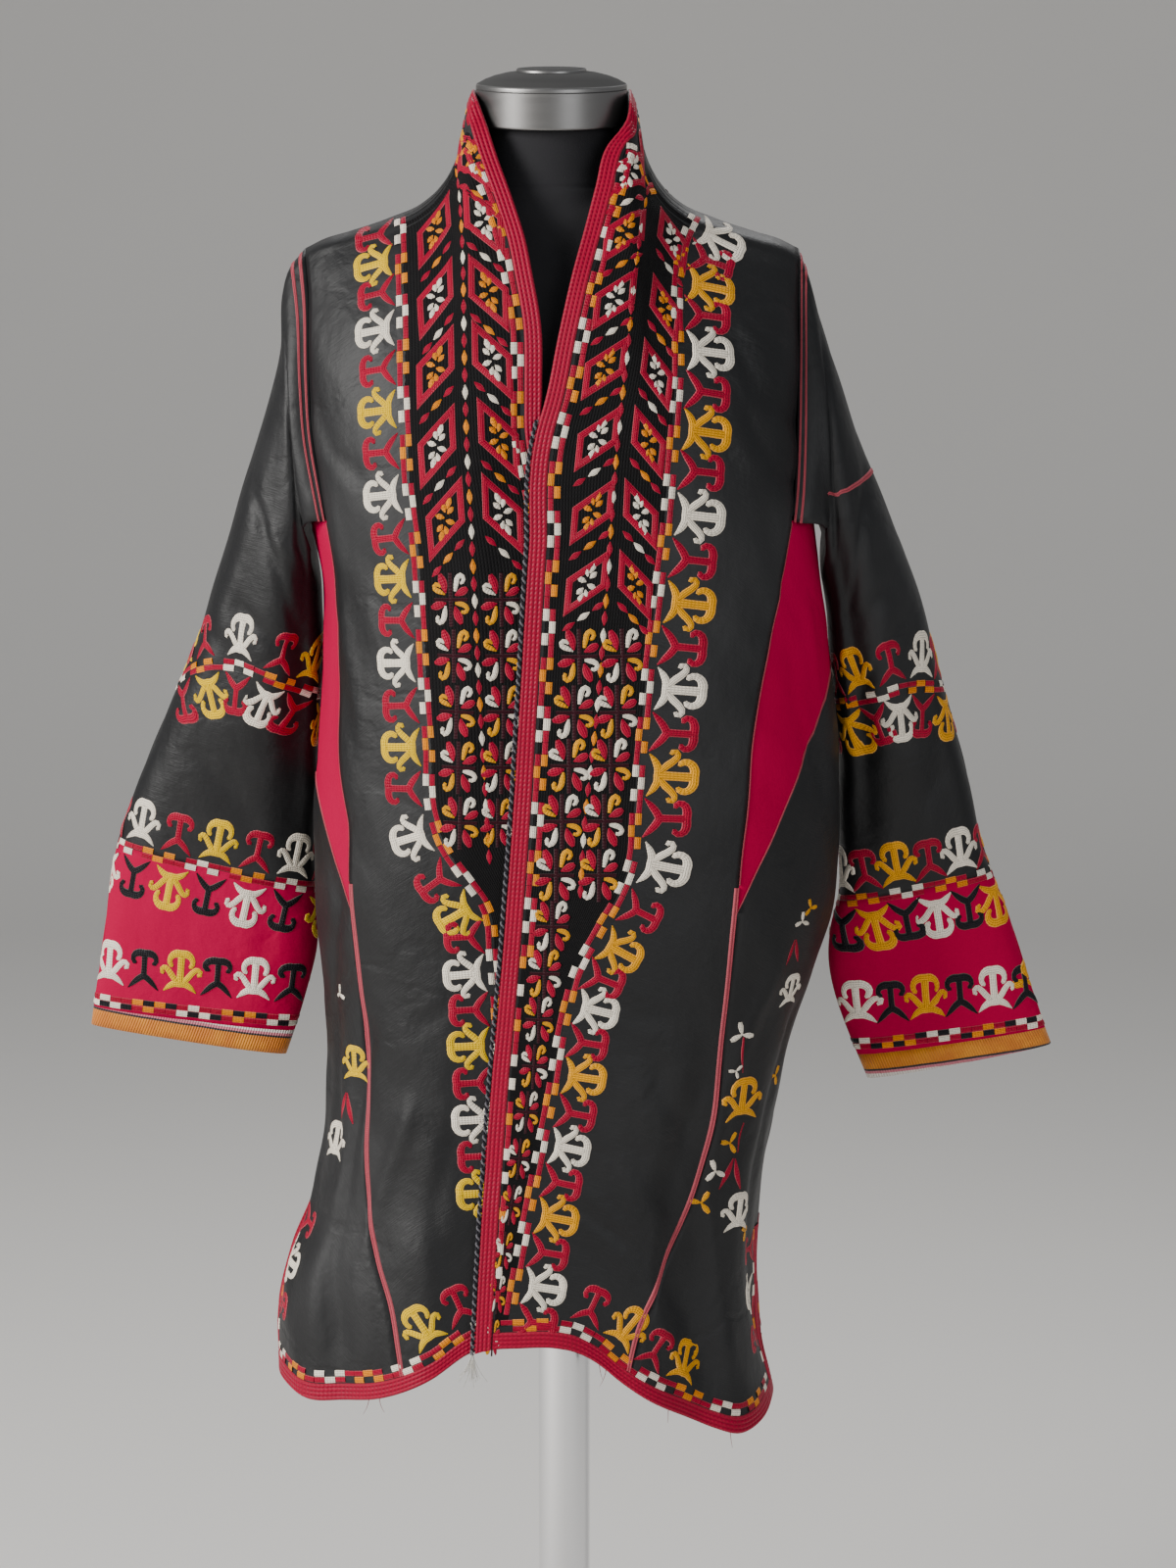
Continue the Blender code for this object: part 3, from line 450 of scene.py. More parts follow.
def body(angle, level):
    """Outer face of the body. The angle runs from the front middle (0) by +X (90) to the back."""
    across, forward = rounded(angle)
    mid = read(BODY, "level", "mid", level)
    half = np.where(across < 0, mid - read(BODY, "level", "left", level),
                    read(BODY, "level", "right", level) - mid)
    deep = np.where(forward > 0, read(BODY, "level", "front", level),
                    read(BODY, "level", "back", level)) + body_folds(angle, level)
    x = mid + half * across
    parted = np.sign(forward) * RIDGE_GAP / 2 * ease((level - 1.33) / 0.04)
    y = ROBE_Y - deep * forward - parted
    out = np.abs(x - ROBE_X)
    rise = read(RIDGE, "out", "high", out) - TOP_LEVEL
    neck_rise = read(RIDGE, "out", "high", NECK_OUT) - TOP_LEVEL
    back_rise = neck_rise + NAPE_RISE * ease((NECK_OUT - out) / NECK_OUT)
    rise = np.where((forward < 0) & (out < NECK_OUT), back_rise, rise)
    hem = np.where(forward > 0, read(HEM_FRONT, "x", "high", x), read(HEM_BACK, "x", "high", x))
    hem = (hem - HEM_LEVEL) * ease((HEM_RISE_STARTS - level) / (HEM_RISE_STARTS - HEM_LEVEL))
    return np.stack([x, y, level + rise * read(RISE_LEFT, "level", "share", level) + hem], -1)


def front_angle(x, level):
    """Angle at which the front of the body has this x."""
    mid = read(BODY, "level", "mid", level)
    half = np.where(x < mid, mid - read(BODY, "level", "left", level),
                    read(BODY, "level", "right", level) - mid)
    share = np.clip(np.abs(x - mid) / half, 0, 1)
    return np.sign(x - mid) * np.degrees(np.arcsin(share ** (SECTION_POWER / 2)))


def tucked(angle, level):
    """The body's front where it runs under the wearer's left front."""
    point = body(angle, level)
    cover = point[..., 0] - read(EDGE[1], "level", "x", level)
    deep = TUCK_DEEP * ease((cover + 0.045) / 0.04) * ease((1.275 - level) / 0.045)
    return point + np.stack([0 * deep, deep, 0 * deep], -1)


def side_seam(side, level, behind=False):
    """Angle of the armhole, gusset and gore seam. Side is +1 for the wearer's left."""
    angle = front_angle(read(SEAM[side], "level", "x", level), level)
    return side * 180 - angle if behind else angle


def neckline(x):
    """Level at which the back ends at its top, lower across the neck."""
    share = np.clip(np.abs(x - ROBE_X) / NECK_OUT, 0, 1)
    return TOP_LEVEL - BACK_NECK_DROP * (1 - share ** 2)


def collar(angle, up):
    """Outer face of the standing collar. The angle runs as on the body; up is 0 at the neckline."""
    across, forward = rounded(angle)
    x = ROBE_X + NECK_OUT * across
    level = neckline(x)
    foot = body(180 - front_angle(x, level), level)
    side_foot, crest = read(RIDGE, "out", "high", NECK_OUT), read(RIDGE, "out", "high", COLLAR_OUT)
    out = read(RIDGE, "high", "out", side_foot + (crest - side_foot) * up)
    share = (NECK_OUT - out) / (NECK_OUT - COLLAR_OUT)
    edge_x = ROBE_X + COLLAR_OUT * across
    edge_y = ROBE_Y - COLLAR_DEEP * forward
    return np.stack([foot[..., 0] + (edge_x - foot[..., 0]) * share,
                     foot[..., 1] + (edge_y - foot[..., 1]) * share,
                     foot[..., 2] + (crest - foot[..., 2]) * up], -1)


print("nape of the collar at", collar(180.0, 1.0).round(3))

# %% The sleeves
def armhole_spot(side, around):
    """Body angle and level of the armhole seam: around is 0 on the shoulder, 0.5 under the arm."""
    around = np.mod(np.asarray(around, float), 1)
    behind = around > 0.5
    row = np.where(behind, 1 - around, around) * SLEEVE_SIDES
    last = len(ARMHOLE_LEVELS) - 1
    level = np.interp(row, np.arange(last + 1), ARMHOLE_LEVELS)
    under = np.clip((row - last) / (SLEEVE_SIDES / 2 - last), 0, 1)
    seam = side_seam(side, level)
    angle = seam + (side * 90 - seam) * under
    return np.where(behind, side * 180 - angle, angle), level


def sleeve_ring(side, around, along):
    """A sleeve's own section, without the pull of the armhole."""
    forward, outward = rounded(np.asarray(around, float) * 360)
    get = {name: read(SLEEVE[side], "along", name, along) for name in SLEEVE[side]}
    outer = np.stack([get["outer_x"], get["y"], get["outer_z"]], -1)
    inner = np.stack([get["inner_x"], get["y"], get["inner_z"]], -1)
    ring = (outer + inner) / 2 + (outer - inner) / 2 * outward[..., None]
    ring[..., 1] -= (get["half"] + sleeve_folds(side, around, along)) * forward
    return ring


def sleeve_folds(side, around, along):
    """How far the folds move a sleeve's cloth out."""
    out = 0.0 * along
    for fold in rows_of(SLEEVE_FOLDS):
        line = fold["around"] + fold["lean"] * along
        down = np.clip((along - fold["start"]) / fold["length"], 0, 1)
        if fold["side"] == side:
            out = out + fold["deep"] * hump(around, line, fold["width"], 1) * np.sin(np.pi * down)
    return out


def sleeve(side, around, along):
    """Outer face of a sleeve. Along is the length from the armhole, on the outer edge."""
    along = np.asarray(along, float)
    pull = body(*armhole_spot(side, around)) - sleeve_ring(side, around, 0 * along)
    pull[..., 0] += side * SEAM_GAP
    return sleeve_ring(side, around, along) + pull * ease(1 - along / SLEEVE_SET_IN)[..., None]


print("under-arm point", sleeve(1, 0.5, 0.0).round(3))

# %% [markdown]
# ## Creases
#
# Hung silk is never smooth. Its large folds are in the tables above, and the main creases come from a table
# of short lines, each with a start and an end on the cloth, a half width and a depth. A negative depth is a
# trough and a positive one a ridge. They are uneven on purpose, and the hidden back gets its own.

# %% Creases of body and sleeves, as lines on the cloth
BODY_CREASES = table("""
angle  level  to_angle  to_level  width  deep
43     1.292  64        1.246     0.009  -0.0024
47     1.238  63        1.196     0.008  -0.0020
38     1.336  57        1.300     0.010   0.0016
52     1.182  60        1.090     0.010  -0.0020
55     1.060  66        0.960     0.010  -0.0024
66     1.090  74        1.000     0.008   0.0018
9      0.803  21        0.782     0.007  -0.0017
1      0.612  19        0.574     0.008  -0.0022
24     0.735  34        0.690     0.009  -0.0015
36     0.720  43        0.500     0.014  -0.0032
53     0.810  57        0.520     0.013   0.0034
30     0.600  36        0.480     0.010   0.0022
-30    0.775  -22       0.795     0.007  -0.0015
-50    0.760  -46       0.500     0.013  -0.0034
-34    0.690  -36       0.490     0.012   0.0028
-62    1.246  -48       1.204     0.009  -0.0020
-58    1.160  -50       1.010     0.011   0.0019
-66    1.080  -56       0.930     0.010  -0.0022
-44    1.120  -38       1.060     0.008  -0.0013
-60    0.860  -66       0.640     0.012  -0.0028
-20    0.660  -16       0.540     0.010  -0.0018
76     0.760  82        0.520     0.012  -0.0030
-80    0.770  -76       0.540     0.012   0.0030
100    0.720  97        0.500     0.012   0.0028
128    1.286  110       1.232     0.010  -0.0024
120    1.190  104       1.120     0.009  -0.0020
150    1.066  166       0.962     0.011  -0.0022
139    0.820  144       0.520     0.014  -0.0034
163    1.176  198       1.160     0.011   0.0018
170    0.770  166       0.500     0.013   0.0030
158    0.668  168       0.604     0.009  -0.0018
196    0.730  201       0.490     0.013  -0.0032
188    1.000  202       0.905     0.010  -0.0020
222    0.810  219       0.510     0.013   0.0032
231    1.292  247       1.234     0.010  -0.0024
236    1.172  252       1.110     0.009  -0.0020
214    0.640  202       0.566     0.009  -0.0017
258    0.740  263       0.520     0.012  -0.0028
""")
SLEEVE_CREASES = table("""
side  around  along  to_around  to_along  width  deep
1     0.13    0.070  0.30       0.130     0.010  -0.0030
1     0.36    0.060  0.26       0.150     0.010   0.0022
1     0.12    0.175  0.28       0.205     0.009  -0.0026
1     0.34    0.215  0.20       0.250     0.009  -0.0024
1     0.14    0.290  0.30       0.300     0.008  -0.0020
1     0.36    0.330  0.24       0.380     0.008  -0.0018
1     0.18    0.430  0.27       0.500     0.008  -0.0015
1     0.62    0.090  0.80       0.150     0.010  -0.0028
1     0.66    0.220  0.84       0.260     0.009  -0.0026
1     0.82    0.320  0.64       0.350     0.009  -0.0020
-1    0.15    0.060  0.32       0.150     0.010  -0.0030
-1    0.37    0.110  0.24       0.190     0.010   0.0024
-1    0.13    0.190  0.31       0.235     0.009  -0.0026
-1    0.35    0.260  0.19       0.280     0.009  -0.0026
-1    0.14    0.320  0.29       0.345     0.008  -0.0018
-1    0.20    0.420  0.30       0.470     0.008  -0.0016
-1    0.33    0.540  0.26       0.640     0.007  -0.0014
-1    0.64    0.080  0.82       0.160     0.010  -0.0028
-1    0.84    0.210  0.65       0.250     0.009  -0.0026
-1    0.66    0.330  0.80       0.360     0.009  -0.0020
""")
DEGREE_LONG = 0.0036    # about one degree of the body's girth
TURN_LONG = 0.38        # about one whole turn round a sleeve
CREASE_BEND = 0.12      # a crease bows by this share of its length
CREASE_FADE = 1.8       # and fades beyond its ends over this many half widths
UNEVEN = 0.0004         # height of the faint unevenness of all cloth


def crease(u, v, line, scale, whole):
    """A soft trough or ridge along a table's line, in metres on the cloth. The first two columns are the
    line's start, the next two its end; across runs in units of scale and closes on itself after whole."""
    start_u, start_v, end_u, end_v = list(line.values())[-6:-2]
    start, run = start_u * scale, np.array([(end_u - start_u) * scale, end_v - start_v])
    du = (u - start + whole / 2) % whole - whole / 2
    length = np.hypot(*run)
    along = (du * run[0] + (v - start_v) * run[1]) / length
    off = (du * run[1] - (v - start_v) * run[0]) / length
    bend = CREASE_BEND * length * np.sin(np.pi * np.clip(along / length, 0, 1))
    beyond = along - np.clip(along, 0, length)
    fade = (beyond / (CREASE_FADE * line["width"])) ** 2
    return line["deep"] * np.exp(-((off - bend) / line["width"]) ** 2 - fade)


def body_creases(angle, level):
    """Height of all creases on the body, with a faint unevenness of the whole cloth."""
    u, v = angle * DEGREE_LONG, level
    high = UNEVEN * (np.sin(u * 41 + 9 * v) + np.sin(v * 57 - 14 * u) + np.sin((u + v) * 83))
    for line in rows_of(BODY_CREASES):
        high = high + crease(u, v, line, DEGREE_LONG, 360 * DEGREE_LONG)
    return high * ease((1.375 - level) / 0.03)


def sleeve_creases(side, around, along):
    """Height of all creases on a sleeve."""
    u, v = around * TURN_LONG, along
    high = UNEVEN * (np.sin(u * 52 + 11 * v) + np.sin(v * 71 - 9 * u))
    for line in rows_of(SLEEVE_CREASES):
        if line["side"] == side:
            high = high + crease(u, v, line, TURN_LONG, TURN_LONG)
    return high * ease(along / 0.02)


print("creases", len(BODY_CREASES["angle"]), "on the body,", len(SLEEVE_CREASES["side"]), "on the sleeves")

# %% [markdown]
# ## A surface that knows its outside
#
# Panels, braids and stitches all need three things of a cloth surface: its points, its slopes and which way
# is out. One small class holds them, so that a stitch laid on a sleeve and one on a front use the same code.
# The creases move its points out along the smooth surface's normal.

# %% Cloth surfaces
class Cloth:
    """A surface given by a function of two numbers. Outward is the sign that turns its normal out."""

    def __init__(self, shape, outward, steps, creases=None):
        self.base, self.outward, self.steps, self.creases = shape, outward, steps, creases

    def slopes(self, u, v, shape=None):
        shape, (du, dv) = shape or self.points, self.steps
        return ((shape(u + du, v) - shape(u - du, v)) / (2 * du),
                (shape(u, v + dv) - shape(u, v - dv)) / (2 * dv))

    def facing(self, u, v, shape=None):
        across, down = self.slopes(u, v, shape)
        return unit(np.cross(across, down)) * self.outward

    def points(self, u, v):
        u, v = np.asarray(u, float), np.asarray(v, float)
        if self.creases is None:
            return self.base(u, v)
        return self.base(u, v) + self.facing(u, v, self.base) * self.creases(u, v)[..., None]


def unit(vectors):
    return vectors / np.maximum(np.linalg.norm(vectors, axis=-1, keepdims=True), 1e-12)


def run_along(points):
    """Distance run along a line of points, at each of them."""
    return np.pad(np.cumsum(np.linalg.norm(np.diff(points, axis=0), axis=-1)), (1, 0))


BODY_CLOTH = Cloth(body, 1, (0.3, 0.0008), body_creases)
FRONT_CLOTH = {1: BODY_CLOTH, -1: Cloth(tucked, 1, (0.3, 0.0008), body_creases)}
COLLAR_CLOTH = Cloth(collar, 1, (0.3, 0.004))
SLEEVE_CLOTH = {side: Cloth(partial(sleeve, side), side, (0.003, 0.0008), partial(sleeve_creases, side))
                for side in (1, -1)}
print("front middle faces", BODY_CLOTH.facing(np.array(2.0), np.array(1.0)).round(2))

# %% [markdown]
# ## Making a sheet
#
# A woven panel is a grid of threads, so a bmesh grid is its natural start: the grid is made flat and its
# points are then moved onto the cloth surface. The same helper gives it a UV map in metres, which the
# materials read for slubs and stitches, and a Solidify modifier gives it the thickness of two silk layers.

# %% From a bmesh to a finished piece
SHEET_THICK = 0.0012
SAME_SPOT = 1e-6        # points closer than this are merged


def place_grids(mesh, shapes, points, uv):
    """Fill a mesh with one grid for each (rows, columns), at these points and with a UV for each point."""
    bm = bmesh.new()
    for rows, columns in shapes:
        bmesh.ops.create_grid(bm, x_segments=columns - 1, y_segments=rows - 1, size=1)
    bm.to_mesh(mesh)
    bm.free()
    mesh.vertices.foreach_set("co", points.reshape(-1))
    corner = np.empty(len(mesh.loops), int)
    mesh.loops.foreach_get("vertex_index", corner)
    mesh.uv_layers.new(name="cloth").data.foreach_set("uv", uv.reshape(-1, 2)[corner].reshape(-1))


def add_grid(bm, points, uv, closed=False):
    """Add one grid of points to a bmesh. A closed one has its first and last columns merged."""
    mesh = bpy.data.meshes.new("grid")
    place_grids(mesh, [points.shape[:2]], points, uv)
    if closed:
        ring = bmesh.new()
        ring.from_mesh(mesh)
        bmesh.ops.remove_doubles(ring, verts=ring.verts, dist=SAME_SPOT)
        ring.to_mesh(mesh)
        ring.free()
    bm.from_mesh(mesh)
    bpy.data.meshes.remove(mesh)


def finished(mesh, material):
    """A smooth object of the mesh, in one material, at the origin."""
    mesh.materials.append(material)
    mesh.shade_smooth()
    piece = bpy.data.objects.new(mesh.name, mesh)
    bpy.context.scene.collection.objects.link(piece)
    return piece


def from_bmesh(name, bm, material):
    """A finished object of a bmesh, which is then freed."""
    mesh = bpy.data.meshes.new(name)
    bm.to_mesh(mesh)
    bm.free()
    print(f"{name}: {len(mesh.polygons)} faces")
    return finished(mesh, material)


print("points merge below", SAME_SPOT, "m")

# %% Sheets, and how they are put on the frame
def lay_grid(name, points, uv, material, closed=False):
    """A piece of one grid of rows by columns of points."""
    bm = bmesh.new()
    add_grid(bm, points, uv, closed)
    return from_bmesh(name, bm, material)


def uv_by_length(points):
    """Distance along each row and down each column, in metres."""
    across = np.linalg.norm(np.diff(points, axis=1), axis=-1)
    down = np.linalg.norm(np.diff(points, axis=0), axis=-1)
    u = np.pad(np.cumsum(across, axis=1), ((0, 0), (1, 0)))
    v = np.pad(np.cumsum(down, axis=0), ((1, 0), (0, 0)))
    return np.stack([u - u[:, -1:] / 2, v], -1)


def area_of(points):
    """Area of a grid's cells."""
    a, b = points[1:, 1:] - points[:-1, :-1], points[1:, :-1] - points[:-1, 1:]
    return float(np.linalg.norm(np.cross(a, b), axis=-1).sum() / 2)


def inside_out(points, facing):
    """Whether a grid's faces point against its surface."""
    turn = np.cross(points[1:, 1:] - points[1:, :-1], points[1:, 1:] - points[:-1, 1:])
    return (turn * facing[1:, 1:]).sum() < 0


def cloth_sheet(name, cloth, u, v, material, closed=False):
    """A thin shell over a grid of places on a cloth surface, its outside out."""
    points = cloth.points(u, v)
    if inside_out(points, cloth.facing(u, v)):
        points = points[::-1]
    uv = uv_by_length(points)
    piece = lay_grid(name, points, uv, material, closed)
    shell = piece.modifiers.new("thickness", "SOLIDIFY")
    shell.thickness = SHEET_THICK
    shell.offset = -1
    print(f"{name}: {points.shape[0]} x {points.shape[1]} points, {np.ptp(uv[..., 0]):.3f} x"
          f" {uv[..., 1].max():.3f} m, {area_of(points):.4f} m2")
    return piece


def own(piece, slot, *nodes):
    """The piece rides on the part's one body and stands for these nodes, which are hidden. Slot is not used."""
    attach(piece, "root")
    if nodes:
        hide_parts(*nodes)
    return piece


print("sheets are", SHEET_THICK * 1000, "mm thick")

# %% [markdown]
# ## Finishes
#
# Materials are written as sums. A small class wraps a shader socket, so that `1 - mask` or `a * b` adds the
# Math nodes by itself, and one method adds any other node. Only colour, roughness and bump vary; constants
# such as sheen are set on the shader.

# %% Shader sums
class Value:
    """A number that varies over a surface. Python sums on it become Math nodes."""

    def __init__(self, finish, socket):
        self.finish, self.socket = finish, socket

    def apply(self, operation, *others):
        """A Math node on this value and others."""
        return self.finish.node("ShaderNodeMath", {"operation": operation}, dict(enumerate((self, *others))))

    def __add__(self, other):
        return self.apply("ADD", other)

    def __mul__(self, other):
        return self.apply("MULTIPLY", other)

    def __sub__(self, other):
        return self.apply("SUBTRACT", other)

    def __rsub__(self, other):
        return self.finish.node("ShaderNodeMath", {"operation": "SUBTRACT"}, {0: other, 1: self})

    __radd__, __rmul__ = __add__, __mul__

    def within(self, low, high):
        """0 up to low, 1 from high, smooth between."""
        return self.finish.node("ShaderNodeMapRange", {"interpolation_type": "SMOOTHSTEP"},
                                {"Value": self, "From Min": low, "From Max": high})


def socket_name(key):
    """base_color becomes Base Color."""
    return key.replace("_", " ").title().replace("Ior", "IOR")


class Finish:
    """A material and its node tree, with the constants of its Principled shader."""

    def __init__(self, name, **constants):
        self.material = bpy.data.materials.new(name)
        self.material.use_nodes = True
        self.tree = self.material.node_tree
        self.shader = self.tree.nodes["Principled BSDF"]
        for key, value in constants.items():
            self.shader.inputs[socket_name(key)].default_value = value

    def node(self, kind, settings=None, inputs=None, out=0):
        made = self.tree.nodes.new(kind)
        for key, value in (settings or {}).items():
            setattr(made, key, value)
        for key, value in (inputs or {}).items():
            if isinstance(value, Value):
                self.tree.links.new(value.socket, made.inputs[key])
            else:
                made.inputs[key].default_value = value
        return Value(self, made.outputs[out])

    def place(self, kind="Object", stretch=(1, 1, 1)):
        """Coordinates: Object, in metres, or the piece's own UV, scaled by stretch."""
        spot = self.node("ShaderNodeTexCoord", out=kind)
        return self.node("ShaderNodeMapping", inputs={"Vector": spot, "Scale": stretch})

    def noise(self, scale, detail=3.0, kind="Object", stretch=(1, 1, 1)):
        return self.node("ShaderNodeTexNoise",
                         inputs={"Vector": self.place(kind, stretch), "Scale": scale, "Detail": detail})

    def mix(self, factor, low, high, blend="MIX"):
        """A mix of two colours, each four numbers or a socket."""
        return self.node("ShaderNodeMix", {"data_type": "RGBA", "blend_type": blend},
                         {0: factor, 6: low, 7: high}, out=2)

    def split(self, kind, vector):
        """The three numbers of a vector that a node of this kind gives."""
        parts = self.node("ShaderNodeSeparateXYZ", inputs={"Vector": self.node(kind, out=vector)})
        return [Value(self, socket) for socket in parts.socket.node.outputs]

    def set(self, **inputs):
        for key, value in inputs.items():
            self.tree.links.new(value.socket, self.shader.inputs[socket_name(key)])

    def bump(self, height, distance, strength=1.0):
        self.set(normal=self.node("ShaderNodeBump", inputs={"Height": height, "Distance": distance,
                                                             "Strength": strength}))


print("shader helpers ready")

# %% [markdown]
# ### Silk, thread and trims
#
# The black ground is a fine silk: charcoal where light grazes it, with faint slubs across the width, small
# wrinkles and soft rubbed patches. The embroidery thread's stitches run in rows, so its finish reads the
# stroke's own map: across the stroke for the rows, along it for the stitches.

# %% Silk and thread finishes
def silk(name, colour, worn, rough, sheen, glossy):
    """Hand-woven silk: slubs across the cloth, small wrinkles and rubbed patches."""
    made = Finish(name, sheen_weight=sheen, sheen_roughness=0.45, sheen_tint=(*worn, 1),
                  specular_ior_level=glossy)
    rubbed = made.noise(5.0, 4.0).within(0.45, 0.75)
    slubs = made.noise(1.0, 3.0, "UV", (60, 1100, 1))
    wrinkle = made.noise(34.0, 5.0, "Object", (1, 1, 0.7))
    crease = (made.noise(6.0, 6.0, "Object", (1, 1, 1.5)) - 0.5).apply("ABSOLUTE").within(0.0, 0.035)
    made.set(base_color=made.mix(rubbed * 0.55 + slubs.within(0.5, 0.9) * 0.35, (*colour, 1), (*worn, 1)))
    made.set(roughness=slubs * 0.14 + (rough - 0.07) + rubbed * 0.06)
    made.bump(slubs * 0.10 + wrinkle + crease * 0.16, 0.0030, 0.7)
    return made.material


def stitched(name, rows, stitch, rough=0.42, colour=None, outline=0.12, groove=0.6):
    """Chain stitch in rows: the map's u runs 0 to 1 across the rows and its v along them in metres. Its colour
    carries painted shade in the grooves between rows, as deep as groove says, and along each loop.
    """
    made = Finish(name, specular_ior_level=0.16)
    u, v = made.split("ShaderNodeTexCoord", "UV")[:2]
    row = (u * (rows * math.pi)).apply("SINE").apply("ABSOLUTE")
    half_loop = (v * (2 * math.pi / stitch) + row * 2.4).apply("SINE")
    edge = (u - 0.5).apply("ABSOLUTE").within(0.36, 0.44)
    if colour is None:
        base = made.node("ShaderNodeVertexColor", {"layer_name": "thread"})
    else:
        base = made.mix(made.noise(40.0) * 0.5, (*colour, 1), (*[0.72 * part for part in colour], 1))
    # Painted shade: darker in the grooves between the stitched rows and along each loop; the fine noise is the
    # thread's own uneven tone.
    shade = row.within(0.05, 0.55) * groove + half_loop * 0.07 + made.noise(300.0) * 0.25 + (0.88 - groove)
    row_shade_and_tone = made.node("ShaderNodeCombineColor", inputs={"Red": shade, "Green": shade, "Blue": shade})
    thread_colour = made.mix(1.0, base, row_shade_and_tone, "MULTIPLY")
    light = made.mix(outline, base, (0.95, 0.80, 0.72, 1))
    made.set(base_color=made.mix(edge, thread_colour, light))
    made.set(roughness=made.noise(120.0) * 0.2 + (rough - 0.1))
    made.bump(row * 0.8 + half_loop * 0.25, 0.0006, 0.8)
    return made.material


BLACK_SILK = silk("black_silk", (0.0050, 0.0050, 0.0056), (0.026, 0.026, 0.027), 0.50, 0.62, 0.36)
CRIMSON_SILK = silk("crimson_silk", (0.40, 0.000, 0.044), (0.48, 0.001, 0.060), 0.70, 0.0, 0.04)
BLACK_GROUND = stitched("black_ground_thread", 40, 0.0030, 0.8, (0.006, 0.0055, 0.0060), 0.0)
THREAD = stitched("silk_thread", 4, 0.0024)
BRAID = stitched("crimson_braid", 4, 0.0036, colour=(0.36, 0.000, 0.030), outline=0.02, groove=0.3)
PINK_TAPE = stitched("pink_tape", 2, 0.0016, 0.6, (0.46, 0.075, 0.10), 0.05)
CORD_THREAD = stitched("cord_thread", 1, 0.0016, 0.7, (0.018, 0.017, 0.022), 0.0)
PALE_CORD = stitched("pale_cord_thread", 1, 0.0016, 0.7, (0.15, 0.145, 0.16), 0.0)
WHITE_THREAD = stitched("white_thread", 1, 0.0016, 0.6, (0.80, 0.77, 0.70), 0.0)
print("silk and thread finishes made")

# %% Finishes of the orange edging and of the dress form
def ribbon_finish():
    """The sleeve's edging: a ribbed orange ribbon, then dark, pink and white lines at the very edge."""
    made = Finish("orange_ribbon", sheen_weight=0.2, specular_ior_level=0.4)
    u, v = made.split("ShaderNodeTexCoord", "UV")[:2]
    rib = (u * (2 * math.pi / 0.0022)).apply("SINE")
    worn = made.noise(60.0)
    orange = made.mix(worn.within(0.35, 0.7), (0.56, 0.16, 0.004, 1), (0.72, 0.26, 0.008, 1))
    striped = made.mix(rib.within(-0.2, 0.9) * 0.5, orange, (0.42, 0.12, 0.01, 1))
    for start, colour in ((0.0140, (0.012, 0.010, 0.012, 1)), (0.0158, (0.55, 0.16, 0.20, 1)),
                          (0.0182, (0.72, 0.66, 0.60, 1))):
        striped = made.mix((v + worn * 0.001).within(start, start + 0.0004), striped, colour)
    made.set(base_color=striped)
    made.set(roughness=worn * 0.2 + 0.5)
    made.bump(rib, 0.0004, 0.7)
    return made.material


def form_cloth_finish():
    """Close black knit over the form's padding."""
    made = Finish("form_cloth", sheen_weight=0.35, sheen_roughness=0.5, sheen_tint=(0.16, 0.16, 0.17, 1),
                  specular_ior_level=0.25)
    knit = made.noise(900.0, 2.0)
    dust = made.noise(9.0, 4.0)
    made.set(base_color=made.mix(dust.within(0.4, 0.8) * 0.6 + knit * 0.2, (0.016, 0.0155, 0.0175, 1),
                                 (0.036, 0.035, 0.038, 1)))
    made.set(roughness=knit * 0.15 + 0.78)
    made.bump(knit, 0.0005, 0.5)
    return made.material


def metal_finish(name, colour, rough, brushed, top=1.0):
    """Turned metal: fine marks round the axis, and faint smears. Below 1, top is how much of the colour
    is left on faces that look up, as painted shade on the top; there the metal is also rougher and less
    metallic."""
    made = Finish(name, metallic=1.0)
    marks = made.noise(1.0, 3.0, "Object", (6, 6, 900))
    smear = made.noise(7.0, 4.0)
    bright = made.mix(smear * 0.4, (*colour, 1), (*[0.86 * part for part in colour], 1))
    worn = marks * brushed + smear * 0.06 + rough
    if top < 1:
        # Painted shade: faces that look up get a darker colour, and are also made rougher and less metallic.
        top_shade_mask = made.split("ShaderNodeNewGeometry", "Normal")[2].within(0.5, 0.9)
        bright = made.mix(top_shade_mask, bright, (*[top * part for part in colour], 1))
        worn = worn + top_shade_mask * (1 - top) * 0.8
        made.set(metallic=1 - top_shade_mask * (1 - top))
    made.set(base_color=bright, roughness=worn)
    made.bump(marks, 0.0001, brushed)
    return made.material


ORANGE_RIBBON = ribbon_finish()
FORM_CLOTH = form_cloth_finish()
# The satin metal keeps a tenth of its colour on the tops of the cap and the base plate: painted shade.
SATIN_METAL = metal_finish("satin_metal", (0.24, 0.235, 0.23), 0.30, 0.12, 0.1)
CHROME = metal_finish("chrome", (0.80, 0.80, 0.81), 0.09, 0.04)
print("materials", len(bpy.data.materials))

# %% [markdown]
# ## The panels
#
# Two fronts, a back, four gores and two gussets make the body. A front runs from its free edge to the side
# seam, a gore starts in a point at the gusset's tip and widens to the hem, and a gusset is a long diamond
# under the arm. Each is a grid between two seams. Rows lie closer together near the shoulder, where the cloth
# turns over from front to back.

# %% Rows, and columns spread evenly between two seams
CELL = 0.006            # size of a sheet's cells
TURN_FOOT = 1.370       # above this level the cloth turns over the shoulder and the rows lie closer
TURN_ROWS = TOP_LEVEL - (TOP_LEVEL - TURN_FOOT) * np.linspace(0, 1, 11) ** 2


def rows_down(count):
    """Levels from the shoulder line to the hem, with this many below the turn."""
    return np.concatenate([TURN_ROWS, np.linspace(TURN_FOOT, HEM_LEVEL, count)[1:]])


FINE_LEVELS = rows_down(round((TURN_FOOT - HEM_LEVEL) / CELL))


